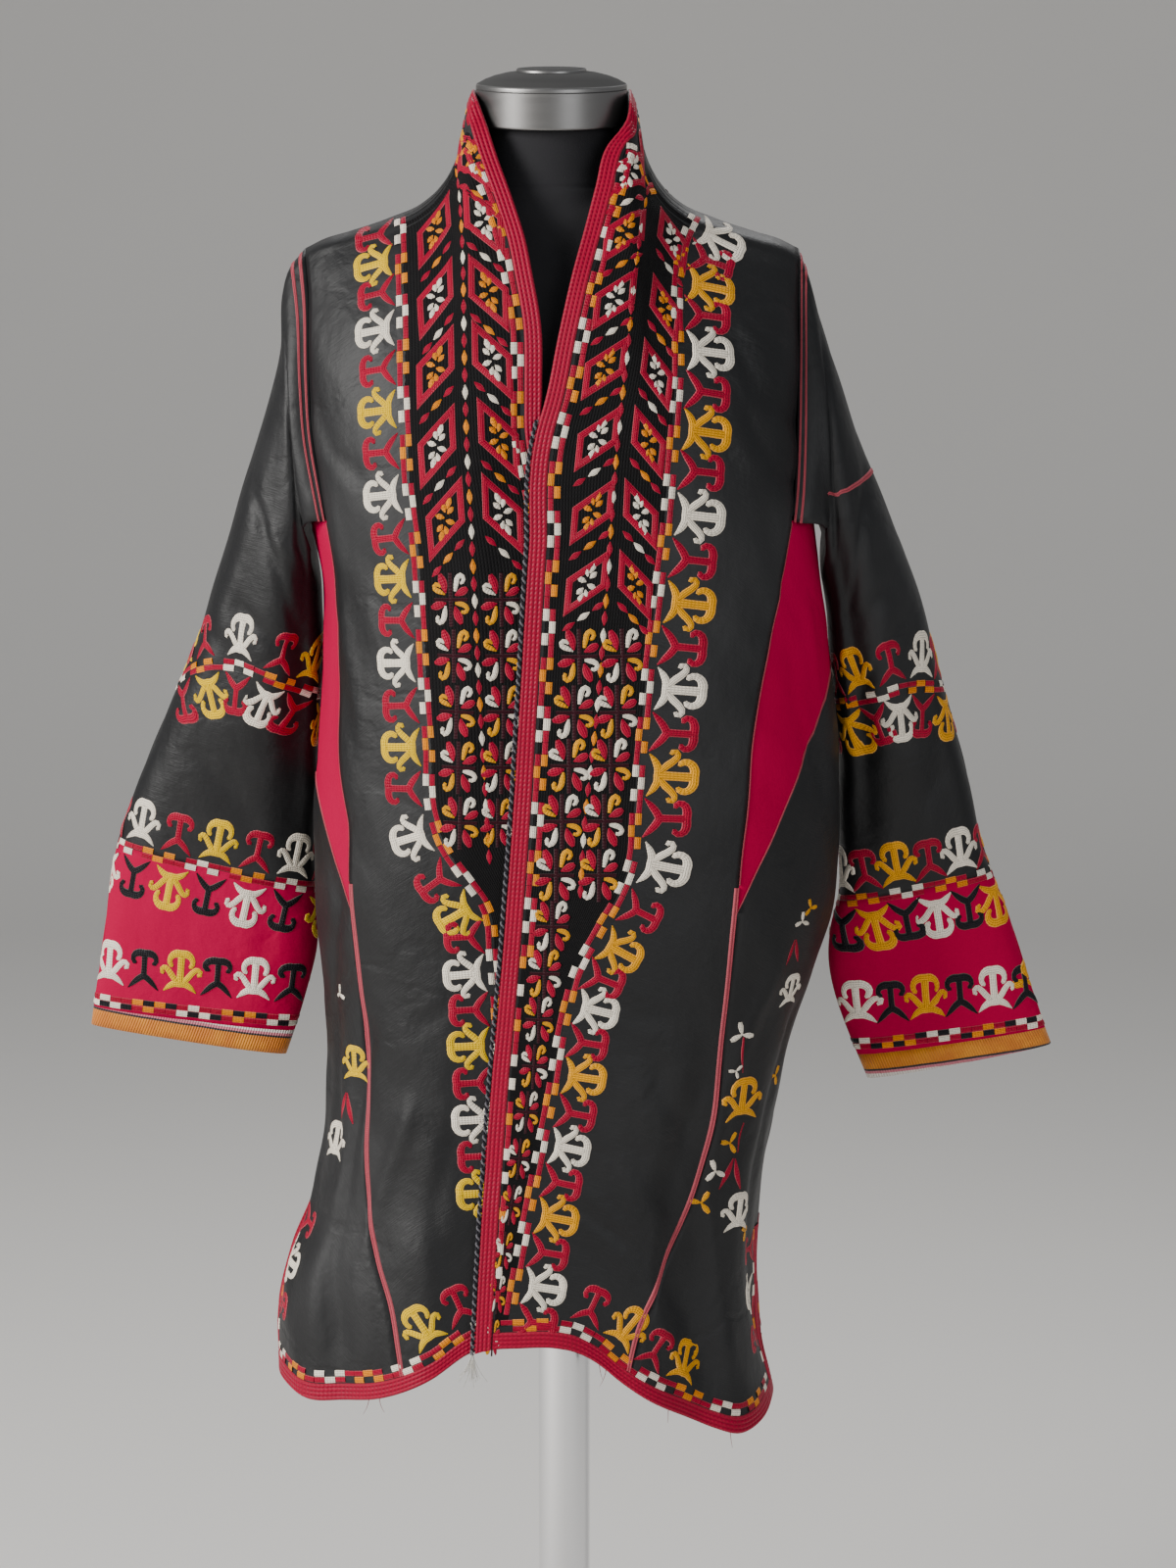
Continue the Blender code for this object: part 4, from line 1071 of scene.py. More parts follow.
def spread(cloth, start, end, levels, columns):
    """Places on each level's row: this many evenly spaced columns, or columns at these distances."""
    end = end + 0 * start
    angle = start[:, None] + (end - start)[:, None] * np.linspace(0, 1, 200)
    points = cloth.base(angle, np.broadcast_to(levels[:, None], angle.shape))
    steps = np.linalg.norm(np.diff(points, axis=1), axis=-1)
    length = np.pad(np.cumsum(steps, axis=1), ((0, 0), (1, 0)))
    angle = np.stack([np.interp(np.linspace(0, length[row, -1], columns) if np.isscalar(columns) else columns,
                                length[row], angle[row]) for row in range(len(levels))])
    return angle, np.broadcast_to(levels[:, None], angle.shape)


def edge_angle(side, level, inwards=0.0):
    """Angle of a front's free edge, or of a line this far across from it towards the side."""
    return front_angle(read(EDGE[side], "level", "x", level) + side * inwards, level)


print("rows down the body", len(FINE_LEVELS))

# %% Grids of gores and gussets
GORE_FINE = 22
LOW_LEVELS = np.linspace(GUSSET_TIP, HEM_LEVEL, round((GUSSET_TIP - HEM_LEVEL) / CELL))


def share_angle(share):
    """Front angle, 0 to 90, whose point lies at this share of the half width."""
    return np.degrees(np.arcsin(np.clip(share, 0, 1) ** (SECTION_POWER / 2)))


def gore_places(side, behind):
    """A gore's angles and levels: rows under the sloping gusset seam, then level rows to the hem."""
    start = side_seam(side, LOW_LEVELS, behind)
    low, low_level = spread(BODY_CLOTH, start, side * 90.0, LOW_LEVELS, GORE_FINE)
    near = np.abs(90 - np.abs(90 - np.abs(low[0])))
    tip = rounded(near[0])[0]
    share = (rounded(near)[0] - tip) / (1 - tip)
    rise = (GORE_CREST[side] - GUSSET_TIP - GORE_GAP) * share
    part = np.linspace(1, 0, 24)[:-1, None]
    return (np.vstack([np.broadcast_to(low[0], (len(part), GORE_FINE)), low]),
            np.vstack([GUSSET_TIP + rise * part, low_level]))


def gusset_places(side):
    """A gusset's angles and levels, from the armhole down to the two gore seams."""
    tip = rounded(np.abs(side_seam(side, GUSSET_TIP)))[0]
    top = np.linspace(-1, 1, 2 * GORE_FINE + 1)
    share = 1 - np.abs(top)
    low = GUSSET_TIP + (GORE_CREST[side] - GUSSET_TIP) * share
    foot = (90 - share_angle(tip + (1 - tip) * share)) / (90 - np.abs(side_seam(side, low)))
    down = np.linspace(0, 1, 44)[:, None]
    level = ARMHOLE_FOOT + (low - ARMHOLE_FOOT) * down
    part = np.abs(top) * (1 - down) + foot * down
    return side * 90 + np.sign(top) * part * (90 - np.abs(side_seam(side, level))), level


def back_places():
    """The back's angles and levels; its upper rows follow the neckline."""
    start, end = side_seam(1, FINE_LEVELS, True), side_seam(-1, FINE_LEVELS, True) + 360
    angle, level = spread(BODY_CLOTH, start, end, FINE_LEVELS, 92)
    x = body(angle[0], TOP_LEVEL + 0 * angle[0])[:, 0]
    yoke = ARMHOLE_LEVELS[-2]
    part = np.clip((level - yoke) / (TOP_LEVEL - yoke), 0, 1)
    return angle, np.where(part > 0, yoke + (neckline(x) - yoke) * part, level)


print("gusset rows and columns", gusset_places(1)[0].shape)

# %% Lay the body's panels
SHEETS = {}


def lay(node, cloth, places, finish, closed=False):
    """Make the sheet that will stand for this node."""
    SHEETS[node] = cloth_sheet("silk_" + node, cloth, *places, finish, closed)


for side, name in SIDES:
    cloth, start, end = FRONT_CLOTH[side], edge_angle(side, FINE_LEVELS), side_seam(side, FINE_LEVELS)
    lay("front_" + name, cloth, spread(cloth, start, end, FINE_LEVELS, 46), BLACK_SILK)
    lay("gusset_" + name, BODY_CLOTH, gusset_places(side), CRIMSON_SILK)
    lay("gore_front_" + name, BODY_CLOTH, gore_places(side, False), BLACK_SILK)
    lay("gore_back_" + name, BODY_CLOTH, gore_places(side, True), BLACK_SILK)
lay("back", BODY_CLOTH, back_places(), BLACK_SILK)

# %% [markdown]
# ## Sleeves, cuffs and collar
#
# A chapan's sleeve is a long straight tube, wide at the top and narrow at the hand. It is one closed grid
# round the arm line, and its crimson cuff and orange edging carry on the same tube. The collar is a band
# that stands round the back of the neck.

# %% Lay the sleeves and the collar
SLEEVE_COLUMNS = 76
COLLAR_ENDS = (90.15, 269.85)       # angles of the collar's two ends, a seam gap off the fronts


def cuff_lines(side):
    """How far along a sleeve its cuff and its edging start, and where it ends."""
    end = SLEEVE_ENDS[side]
    return end - CUFF_FROM_HAND, end - CUFF_TRIM_WIDE, end


for side, name in SIDES:
    cuff, trim, end = cuff_lines(side)
    for part, start, stop, finish in (("sleeve_", 0, cuff, BLACK_SILK), ("cuff_", cuff, trim, CRIMSON_SILK),
                                      ("cuff_trim_", trim, end, ORANGE_RIBBON)):
        places = np.meshgrid(np.linspace(0, 1, SLEEVE_COLUMNS + 1),
                             np.linspace(start, stop, max(4, round((stop - start) / CELL))))
        lay(part + name, SLEEVE_CLOTH[side], places, finish, closed=True)
lay("collar", COLLAR_CLOTH, np.meshgrid(np.linspace(*COLLAR_ENDS, 60), np.linspace(0.006, 1, 16)), BLACK_SILK)

# %% [markdown]
# ## The dress form
#
# A limbless tailor's form fills the robe: a padded body under black knit, a metal cap on its neck and a
# chromed pole. Turned pieces are a profile spun round the axis, and the padded body is lofted from the
# construction's own sections, read smoothly at many more heights.

# %% The padded body
FORM_COLUMNS, FORM_ROWS = 96, 150
NECK_SEAM = 1.4235      # height of the seam round the neck


def form_surface(angle, high):
    """Outer face of the form at an angle and a height."""
    across, forward = rounded(angle)
    power = ease((high - 1.398) / 0.014)
    across = across * (1 - power) + np.sin(np.radians(angle)) * power
    forward = forward * (1 - power) + np.cos(np.radians(angle)) * power
    deep = np.where(forward > 0, read(TORSO, "high", "front", high), read(TORSO, "high", "back", high))
    seam = 0.0010 * np.exp(-((high - NECK_SEAM) / 0.0016) ** 2)
    half, mid = read(TORSO, "high", "half", high), read(TORSO, "high", "y", high)
    y = mid - (deep - seam) * forward
    lean = np.tan(np.radians(read(TORSO, "high", "lean", high)))
    return np.stack([ROBE_X + (half - seam) * across, y, high + (y - mid) * lean], -1)


def add_form():
    """The closed padded body, its bottom filled."""
    high = np.concatenate([np.linspace(TORSO["high"][-1], 1.400, FORM_ROWS)[:-1],
                           np.linspace(1.400, TORSO["high"][0], 44)])
    angle, row = np.meshgrid(np.linspace(0, 360, FORM_COLUMNS + 1), high)
    points = form_surface(angle, row)
    body_form = lay_grid("form_body", points, uv_by_length(points), FORM_CLOTH, closed=True)
    bm = bmesh.new()
    bm.from_mesh(body_form.data)
    bmesh.ops.holes_fill(bm, edges=[edge for edge in bm.edges if edge.is_boundary], sides=0)
    bmesh.ops.recalc_face_normals(bm, faces=bm.faces)
    bm.to_mesh(body_form.data)
    bm.free()
    body_form.data.set_sharp_from_angle(angle=math.radians(60))
    return own(body_form, "form_cloth", "form_torso")


def turned(name, profile, material, slot, node, steps=96, tilt=0.0, foot=(0, 0, 0)):
    """A profile of (radius, height), top to bottom, spun round the axis and closed."""
    bm = bmesh.new()
    verts = [bm.verts.new((radius, 0, high)) for radius, high in profile]
    edges = [bm.edges.new(pair) for pair in zip(verts, verts[1:])]
    bmesh.ops.spin(bm, geom=verts + edges, cent=(0, 0, 0), axis=(0, 0, 1), angle=2 * math.pi, steps=steps,
                   use_merge=True)
    bmesh.ops.remove_doubles(bm, verts=bm.verts, dist=SAME_SPOT)
    bmesh.ops.recalc_face_normals(bm, faces=bm.faces)
    bm.transform(Matrix.Translation(foot) @ Matrix.Rotation(tilt, 4, "X"))
    piece = from_bmesh(name, bm, material)
    piece.data.set_sharp_from_angle(angle=math.radians(35))
    return own(piece, slot, node)


def quarter(radius, high, round_by, start, stop, steps=5):
    """Points of a rounded corner whose arc's centre is at (radius, high)."""
    turn = np.radians(np.linspace(start, stop, steps))
    return [(radius + round_by * math.cos(a), high + round_by * math.sin(a)) for a in turn]


def cap_profile(r, h):
    """A domed lid with a low button on it, over a rim with one fine groove."""
    return [(0, h + 0.0130), (0.012, h + 0.0128), (0.022, h + 0.0122),
            *quarter(0.0262, h + 0.0108, 0.0012, 70, 0), (0.0275, h + 0.0098), (0.036, h + 0.0086),
            (0.045, h + 0.0064), (0.052, h + 0.0038), *quarter(r - 0.0022, h - 0.0012, 0.0022, 80, 0),
            (r, h - 0.003), (r - 0.0006, h - 0.0034), (r, h - 0.0038), (r, 0.0022),
            *quarter(r - 0.0015, 0.0015, 0.0015, 0, -90), (0, 0)]


def pole_profile(r, top, foot):
    """A plain tube with a stepped ring at its foot."""
    return [(0, top), (r, top), (r, foot + 0.020), (r + 0.0035, foot + 0.018), (r + 0.0045, foot + 0.015),
            (r + 0.0045, foot + LIFT), (0, foot + LIFT)]


def plate_profile(r, thick):
    """A flat plate with a rounded upper edge."""
    return [(0, thick), (0.10, thick), *quarter(r - 0.004, thick - 0.004, 0.004, 90, 0, 7), (r, 0.001),
            (r - 0.001, 0), (0, 0)]


add_form()
turned("neck_cap", cap_profile(CAP_RADIUS, CAP_TALL), SATIN_METAL, "satin_metal", "form_neck_cap", 128,
       CAP_TILT, CAP_FOOT)
turned("pole", pole_profile(POLE_RADIUS, TORSO_FOOT - LIFT, BASE_THICK), CHROME, "chrome", "form_pole", 72)
turned("base_plate", plate_profile(BASE_RADIUS, BASE_THICK), SATIN_METAL, "satin_metal", "form_base", 128)

# %% [markdown]
# ## Braids, tapes and the cord
#
# The crimson braid is four rows of chain stitch worked over the raw edge, so it stands proud in four small
# ridges. Pink tapes cover the gore seams and the armholes, and a two-ply cord is sewn against the free edge
# of the front that lies on top. All are ribbons raised from the same cloth surfaces.

# %% Ribbons on a cloth
BRAID_COLUMNS = 17
BRAID_HIGH = 0.0012


def ridges(columns, rows, high):
    """Heights across a ribbon: one low ridge for each stitched row, down to the cloth at both edges."""
    share = np.linspace(0, 1, columns)
    swell = np.abs(np.sin(share * rows * math.pi)) * 0.3 + 0.7
    return high * swell * np.minimum(1, np.minimum(share, 1 - share) * columns / 1.2) - 0.0001


def ribbon(name, grids, material, high, rows):
    """One mesh from several grids of points and facings, raised in ridges across their columns."""
    bm = bmesh.new()
    for points, facing in grids:
        raised = points + facing * ridges(points.shape[1], rows, high)[None, :, None]
        if inside_out(raised, facing):
            raised = raised[:, ::-1]
        share = np.broadcast_to(np.linspace(0, 1, raised.shape[1]), raised.shape[:2])
        add_grid(bm, raised, np.stack([share, run_along(raised[:, 0])[:, None] + 0 * share], -1))
    bmesh.ops.remove_doubles(bm, verts=bm.verts, dist=SAME_SPOT)
    return from_bmesh(name, bm, material)


def lane(cloth, u, v):
    """Points and facings of a grid of places on a cloth. Columns run across a ribbon, rows along it."""
    return cloth.points(u, v), cloth.facing(u, v)


def lane_along(cloth, along, across):
    """The same for a ribbon that runs along the cloth's first number and is spread over its second."""
    return lane(cloth, *(part.T for part in np.meshgrid(along, across)))


def lane_down(cloth, start, end, levels, columns):
    """The same for a ribbon that runs down the levels, spread from a start towards an end."""
    return lane(cloth, *spread(cloth, start, end, levels, columns))


def braid(where, lanes):
    """A crimson braid of four stitched rows."""
    return own(ribbon("crimson_" + where, lanes, BRAID, BRAID_HIGH, 4), "braid", where)


STITCH_ROWS = rows_down(310)
ACROSS = np.linspace(0, BRAID_WIDE, BRAID_COLUMNS)
print("rows along a front's braid", len(STITCH_ROWS))

# %% Edge braid: up one front, round the collar and down the other
lanes = [lane_down(FRONT_CLOTH[side], edge_angle(side, STITCH_ROWS), side_seam(side, STITCH_ROWS),
                   STITCH_ROWS, ACROSS) for side in (-1, 1)]
lanes.append(lane_along(COLLAR_CLOTH, np.linspace(*COLLAR_ENDS, 150),
                        np.linspace(1 - COLLAR_BRAID, 1, BRAID_COLUMNS)))
EDGE_BRAID = braid("edge_braid", lanes)

# %% Hem braids, turned up along the slits
SLIT_ROWS = np.linspace(HEM_LEVEL + BRAID_WIDE, SLIT_TOP, 46)


def slit_lane(side, behind):
    """The braid on a slit's edge, measured inwards from the side line."""
    start = side * 90.0 + 0 * SLIT_ROWS
    return lane_down(BODY_CLOTH, start, side_seam(side, SLIT_ROWS, behind), SLIT_ROWS, ACROSS)


HEM_BRAIDS = {}
for side, name in SIDES:
    start = float(edge_angle(side, HEM_LEVEL)) + side * 3.4
    hem = lane_along(FRONT_CLOTH[side], np.linspace(start, side * 90.0, 110), HEM_LEVEL + ACROSS)
    HEM_BRAIDS["front_" + name] = braid("hem_braid_front_" + name, [hem, slit_lane(side, False)])
hem = lane_along(BODY_CLOTH, np.linspace(90.0, 270.0, 220), HEM_LEVEL + ACROSS)
HEM_BRAIDS["back"] = braid("hem_braid_back", [hem, slit_lane(1, True), slit_lane(-1, True)])

# %% Pink tapes on the gore seams and round the armholes
TAPE_COLUMNS, TAPE_HIGH = 7, 0.0009
TAPE_ROWS = np.linspace(GUSSET_TIP + 0.02, HEM_LEVEL + BRAID_WIDE, 150)
GUSSET_ROWS = np.linspace(ARMHOLE_FOOT - 0.002, GUSSET_TIP + 0.022, 80)
# A pieced seam high on the left sleeve, as places on the sleeve's map.
PIECING = table("""
run  around  along
0    0.303   0.075
1    0.250   0.121
2    0.202   0.147
3    0.119   0.170
4    0.020   0.179
5    -0.100  0.184
""")


def pink_tape(node, lanes):
    """A pink tape of two stitched rows."""
    return own(ribbon("pink_" + node, lanes, PINK_TAPE, TAPE_HIGH, 2), "pink_tape", node)


def seam_lanes(side):
    """The tape on a front's gore seam, and the thin lines round its gusset."""
    cloth = FRONT_CLOTH[side]
    lanes = [lane_down(cloth, side_seam(side, TAPE_ROWS), edge_angle(side, TAPE_ROWS), TAPE_ROWS,
                       np.linspace(-0.001, TAPE_WIDE - 0.001, TAPE_COLUMNS))]
    for behind in (False, True):
        lanes.append(lane_down(cloth, side_seam(side, GUSSET_ROWS, behind), side * 90.0, GUSSET_ROWS,
                               np.linspace(-0.0012, 0.0012, 4)))
    angle, level = (part[-1][:, None] for part in gusset_places(side))
    lanes.append(lane(cloth, angle + np.zeros(4), level + np.linspace(-0.0014, 0.0014, 4)))
    return lanes


def armhole_lanes(side):
    """Two thin lines round the front of an armhole, and the left sleeve's pieced seam."""
    cloth, front = SLEEVE_CLOTH[side], np.linspace(-1 / 3, 1 / 3, 90)
    lanes = [lane_along(cloth, front, np.linspace(start, start + 0.004, 5)) for start in (0.0035, 0.0125)]
    if side > 0:
        run = np.linspace(0, 5, 80)[:, None] + np.zeros(5)
        around, along = (read(PIECING, "run", key, run) for key in ("around", "along"))
        lanes.append(lane(cloth, around, along + np.linspace(0, 0.0045, 5)))
    return lanes


SEAM_TAPES, ARMHOLE_TAPES = {}, {}
for side, name in SIDES:
    SEAM_TAPES[name] = pink_tape("seam_tape_" + name, seam_lanes(side))
    ARMHOLE_TAPES[name] = pink_tape("armhole_tape_" + name, armhole_lanes(side))

# %% The twisted cord and its frayed end
CORD_PLY = 0.00095      # radius of each of the two plies
CORD_LAY = 0.0065       # length of one twist


def tube(bm, route, radius, sides=6):
    """Add a tube along a route of points; radius is one number, or one for each point."""
    ahead = unit(np.gradient(route, axis=0))
    side = unit(np.cross(ahead, (0.0, 0.31, 0.11)))
    other = np.cross(ahead, side)
    turn = np.linspace(0, 2 * math.pi, sides + 1)
    ring = side[:, None] * np.cos(turn)[:, None] + other[:, None] * np.sin(turn)[:, None]
    points = route[:, None] + ring * np.broadcast_to(radius, len(route))[:, None, None]
    share = np.broadcast_to(turn / (2 * math.pi), points.shape[:2])
    add_grid(bm, points, np.stack([share, run_along(route)[:, None] + 0 * share], -1), closed=True)


def joined(name, bm, material, slot, *nodes):
    """A piece of one or more tubes, with their ends closed."""
    bmesh.ops.holes_fill(bm, edges=[edge for edge in bm.edges if edge.is_boundary], sides=8)
    bmesh.ops.recalc_face_normals(bm, faces=bm.faces)
    return own(from_bmesh(name, bm, material), slot, *nodes)


def cord_line(levels):
    """Middle of the cord against the left front's free edge, and two directions across it."""
    across = np.array([0, 0.004])
    angle, level = spread(BODY_CLOTH, edge_angle(1, levels), side_seam(1, levels), levels, across)
    edge, inside = BODY_CLOTH.points(angle, level).transpose(1, 0, 2)
    facing = BODY_CLOTH.facing(angle[:, 0], levels)
    away = unit(edge - inside)
    return edge + away * (CORD_RADIUS + LIFT) + facing * 0.0002, away, facing


middle, away, facing = cord_line(np.linspace(CORD_TOP, HEM_LEVEL, 1500))
plies = []
for phase, name, finish, nodes in ((0, "twisted_edge_cord", CORD_THREAD, ["edge_cord"]),
                                   (math.pi, "pale_ply_of_cord", PALE_CORD, [])):
    bm = bmesh.new()
    turn = (2 * math.pi * run_along(middle) / CORD_LAY + phase)[:, None]
    tube(bm, middle + (away * np.cos(turn) + facing * np.sin(turn)) * CORD_PLY, CORD_PLY)
    plies.append(joined(name, bm, finish, "cord", *nodes))
EDGE_CORD, PALE_PLY = plies

draw = np.random.default_rng(7)
bm = bmesh.new()
for _ in range(34):
    start, lean = middle[-12], draw.normal(size=3) * (0.0040, 0.002, 0.0015)
    share = np.linspace(0, 1, 7)[:, None]
    fall = np.array([0.0, 0.0, -0.020 - 0.008 * draw.random()])
    route = start + facing[-1] * 0.0005 + fall * share + lean * share ** 2 * 1.3
    tube(bm, route, 0.00036 * (1 - 0.6 * share[:, 0]), 4)
CORD_FRAY = joined("frayed_cord_end", bm, WHITE_THREAD, "cord")

# %% Stray threads under the hem
draw = np.random.default_rng(9)
bm = bmesh.new()
share = np.linspace(0, 1, 7)[:, None]
for angle in (-34.0, -31.0, 14.0, 15.5, 31.0, 52.0, 150.0, 205.0):
    start = BODY_CLOTH.points(np.array(angle), np.array(HEM_LEVEL + 0.002))
    lean = draw.normal(size=3) * (0.006, 0.002, 0.0)
    route = start + np.array([0.0, 0.0, -0.014]) * share + lean * share ** 2
    tube(bm, route, 0.0003 - 0.0002 * share[:, 0], 4)
STRAYS = joined("stray_hem_threads", bm, BRAID, "braid")

# %% [markdown]
# ## Chain-stitch embroidery
#
# Each motif is a handful of padded strokes. A stroke is charted in millimetres as a few points (across, out,
# width) and becomes a small grid with a raised middle, four stitched rows wide. Mapping a chart onto cloth
# takes the surface's two slopes at its foot: they turn millimetres into the surface's own running numbers, so
# the motif follows every fold and crease. The motifs are traditional ones, charted freely.

# %% Threads and strokes
MM = 0.001
THREADS = {
    "crimson": (0.400, 0.000, 0.030), "yellow": (0.860, 0.540, 0.000), "gold": (0.860, 0.370, 0.000),
    "amber": (0.820, 0.250, 0.000), "white": (0.930, 0.840, 0.700), "black": (0.010, 0.009, 0.012),
    "maroon": (0.040, 0.004, 0.010),
}
STROKE_HIGH = 0.7       # height of a padded stroke, mm
STROKE_ACROSS = np.array([0.0, 0.13, 0.5, 0.87, 1.0])
STROKE_SWELL = np.array([-0.35, 0.75, 1.0, 0.75, -0.35])


def stroke(route, thread, step=2.4, high=STROKE_HIGH):
    """A padded stroke through (across, out, width) points in mm."""
    route = np.array(route, float)
    chord = np.pad(np.cumsum(np.hypot(*np.diff(route[:, :2], axis=0).T)), (1, 0))
    knots = {"at": chord, "s": route[:, 0], "t": route[:, 1], "wide": route[:, 2]}
    at = np.linspace(0, chord[-1], max(2, math.ceil(chord[-1] / step)) + 1)
    s, t, wide = (read(knots, "at", key, at) for key in ("s", "t", "wide"))
    ds, dt = np.gradient(s, at), np.gradient(t, at)
    off = (STROKE_ACROSS - 0.5) * (wide / np.hypot(ds, dt))[:, None]
    swell = high * STROKE_SWELL * np.minimum(1, 0.35 + wide / 4)[:, None]
    return s[:, None] + off * dt[:, None], t[:, None] - off * ds[:, None], swell, at, thread


def both(route, thread):
    """A stroke and its mirror image."""
    return [stroke(route, thread), stroke([(-s, t, wide) for s, t, wide in route], thread)]


def shaped(figure, across=1.0, out=1.0, foot=0.0):
    """A figure made wider and taller by these factors, with its foot moved out by so many mm."""
    return [(s * across, t * out + foot, *rest) for s, t, *rest in figure]


def turned_by(figure, turn):
    """A figure turned about its foot."""
    c, s_ = math.cos(turn), math.sin(turn)
    return [(s * c - t * s_, s * s_ + t * c, *rest) for s, t, *rest in figure]


print("threads", ", ".join(THREADS))

# %% Border motifs: the anchor and the tulip
ANCHOR_STEM = [(0, 9.6, 6.6), (0, 18, 6.0), (0, 27, 6.4)]
ANCHOR_LEG = [(0, 10.8, 6.0), (4.6, 8.4, 5.8), (9.6, 4.6, 4.6), (14.6, 0.2, 0.8)]
ANCHOR_CAP = [(0, 28.4, 7.0), (5.6, 28.6, 6.8), (10.0, 26.8, 6.0), (11.4, 23.4, 5.2), (9.4, 20.8, 4.4),
              (7.6, 20.6, 2.2)]
TULIP_STEM = [(0, 7.6, 7.6), (0, 18, 7.0), (0, 29, 7.2)]
TULIP_FOOT = [(0, 7.6, 6.2), (5, 7.4, 5.8), (10, 5.2, 4.8), (15.6, 1.0, 0.8)]
TULIP_CAP = [(0, 31.2, 7.0), (5.4, 31.2, 6.8), (9.6, 28.8, 6.0), (11.0, 24.6, 5.2), (9.4, 21.6, 4.4),
             (7.8, 20.8, 2.2)]
TULIP_CURL = [(2.6, 8.6, 4.4), (7.4, 12.8, 5.6), (11.8, 17.4, 5.2), (15.6, 19.6, 4.6), (18.2, 18.2, 4.2),
              (17.6, 15.4, 3.8), (16.0, 14.8, 2.4)]
LENS = [(-5.8, 0, 0.6), (0, 0, 5.2), (5.8, 0, 0.6)]


def anchor(thread):
    """A hooked anchor on a stem with two legs."""
    return [stroke(ANCHOR_STEM, thread), *both(ANCHOR_LEG, thread), *both(ANCHOR_CAP, thread)]


def tulip(thread):
    """A branching tulip."""
    return [stroke(TULIP_STEM, thread), *both(TULIP_FOOT, thread), *both(TULIP_CAP, thread),
            *both(TULIP_CURL, thread)]


def motif(thread):
    """Dark threads work the anchor, light ones the tulip."""
    return anchor(thread) if thread in ("crimson", "black") else tulip(thread)


def block(thread, out):
    """A little block of a checker, 9 mm long."""
    wide = 4.6 if thread == "crimson" else 5.4
    return [stroke([(-4.5, out, wide), (4.5, out, wide)], thread, 5, 0.7)]


print("anchor strokes", len(anchor("crimson")), "tulip strokes", len(tulip("white")))

# %% Diamonds with a flower, and the small pairs of leaves
DIAMOND_BORDER = 5.6
PETALS = [((-2.3, 7.0), (-5.8, 16.0), 5.0), ((-0.4, 4.6), (1.8, 11.8), 4.6), ((-2.3, 3.6), (-8.0, 8.2), 4.6),
          ((0.5, 0.9), (8.6, 3.2), 5.0)]


def diamond(thread, lean, wide=32, tall=32, slope=28):
    """A bordered parallelogram with a flower. Lean +1 runs down to the right."""
    half, side, slant = wide / 2, tall / 2, slope / 2 * lean

    def corners(inset):
        wide = half - inset
        tall = side - inset * math.hypot(1, slant / half)
        return np.array([(-wide, slant * wide / half + tall), (wide, -slant * wide / half + tall),
                         (wide, -slant * wide / half - tall), (-wide, slant * wide / half - tall)])

    outer, inner = corners(0), corners(DIAMOND_BORDER)
    figure = []
    for start in range(4):
        stop = (start + 1) % 4
        run = np.linspace(0, 1, 6)[:, None, None]
        edge = [ring[start] + (ring[stop] - ring[start]) * run for ring in (outer, inner)]
        spots = edge[0] + (edge[1] - edge[0]) * STROKE_ACROSS[:, None]
        swell = STROKE_HIGH * np.broadcast_to(STROKE_SWELL, spots.shape[:2])
        at = run[:, 0, 0] * np.hypot(*(outer[stop] - outer[start]))
        figure.append((spots[..., 0], spots[..., 1], swell, at, "crimson"))
    for root, tip, fat in PETALS:
        for turn in (1, -1):
            a, b = (np.array(spot) * (turn * lean * wide / 36, turn * 1.1) for spot in (root, tip))
            figure.append(stroke([(*a, 0.8), (*(a * 0.45 + b * 0.55), fat * 1.1), (*b, 0.6)], thread, 3))
    return figure


# Each quarter of a block: the light hook, then the crimson lobe, as points from the middle of the cross.
HEARTS = (
    ([(-4.6, 4.0, 1.0), (-9.0, 6.2, 4.2), (-13.4, 8.8, 4.2), (-13.4, 11.6, 3.8), (-9.8, 11.6, 3.6),
      (-8, 10, 2.4)],
     [(-4.0, 5.0, 1.2), (-5.4, 11.0, 7.0), (-7.2, 16.0, 7.6), (-8.8, 20.4, 3.0)]),
    ([(3.8, 6.6, 2.6), (5.0, 12.5, 4.6), (6.4, 17.6, 4.6), (9.2, 19.4, 4.2), (11.4, 16.6, 3.8),
      (10, 13.4, 3.2), (8.4, 12.4, 1.8)],
     [(3.6, 3.4, 1.2), (8.0, 5.4, 6.2), (12.0, 7.4, 6.8), (14.4, 9.0, 3.0)]),
    ([(3.8, -2.8, 2.2), (8.0, -3.4, 4.4), (12.2, -5.0, 4.4), (13.8, -7.9, 4.0), (11.2, -10.2, 3.6),
      (8.6, -9.4, 2.2)],
     [(3.6, -5.2, 1.2), (5.0, -10.4, 6.8), (7.0, -15.2, 7.4), (8.6, -19.2, 3.0)]),
    ([(-4.2, -4.9, 1.8), (-5.2, -10.5, 4.8), (-6.6, -15.8, 4.8), (-9.4, -18.2, 4.2), (-11.8, -15.6, 3.8),
      (-10.6, -12.6, 2.6)],
     [(-3.6, -2.8, 1.2), (-8.2, -3.9, 6.4), (-12.8, -5.2, 7.0), (-16.4, -6.2, 2.6)]),
)


def pinwheel(first):
    """Four pairs of a hook and a lobe whose tips point at the middle of a dark cross."""
    figure = [stroke([(0, -21.2, 3.6), (0, 21.2, 3.6)], "maroon", 10, 0.5),
              stroke([(-14, 0, 3.2), (14, 0, 3.2)], "maroon", 10, 0.5)]
    lights = (first, "gold" if first == "white" else "white")
    for k, (hook, lobe) in enumerate(HEARTS):
        figure += [stroke(hook, lights[k % 2], 2.4, 0.9), stroke(lobe, "crimson", 2.8, 0.9)]
    return figure


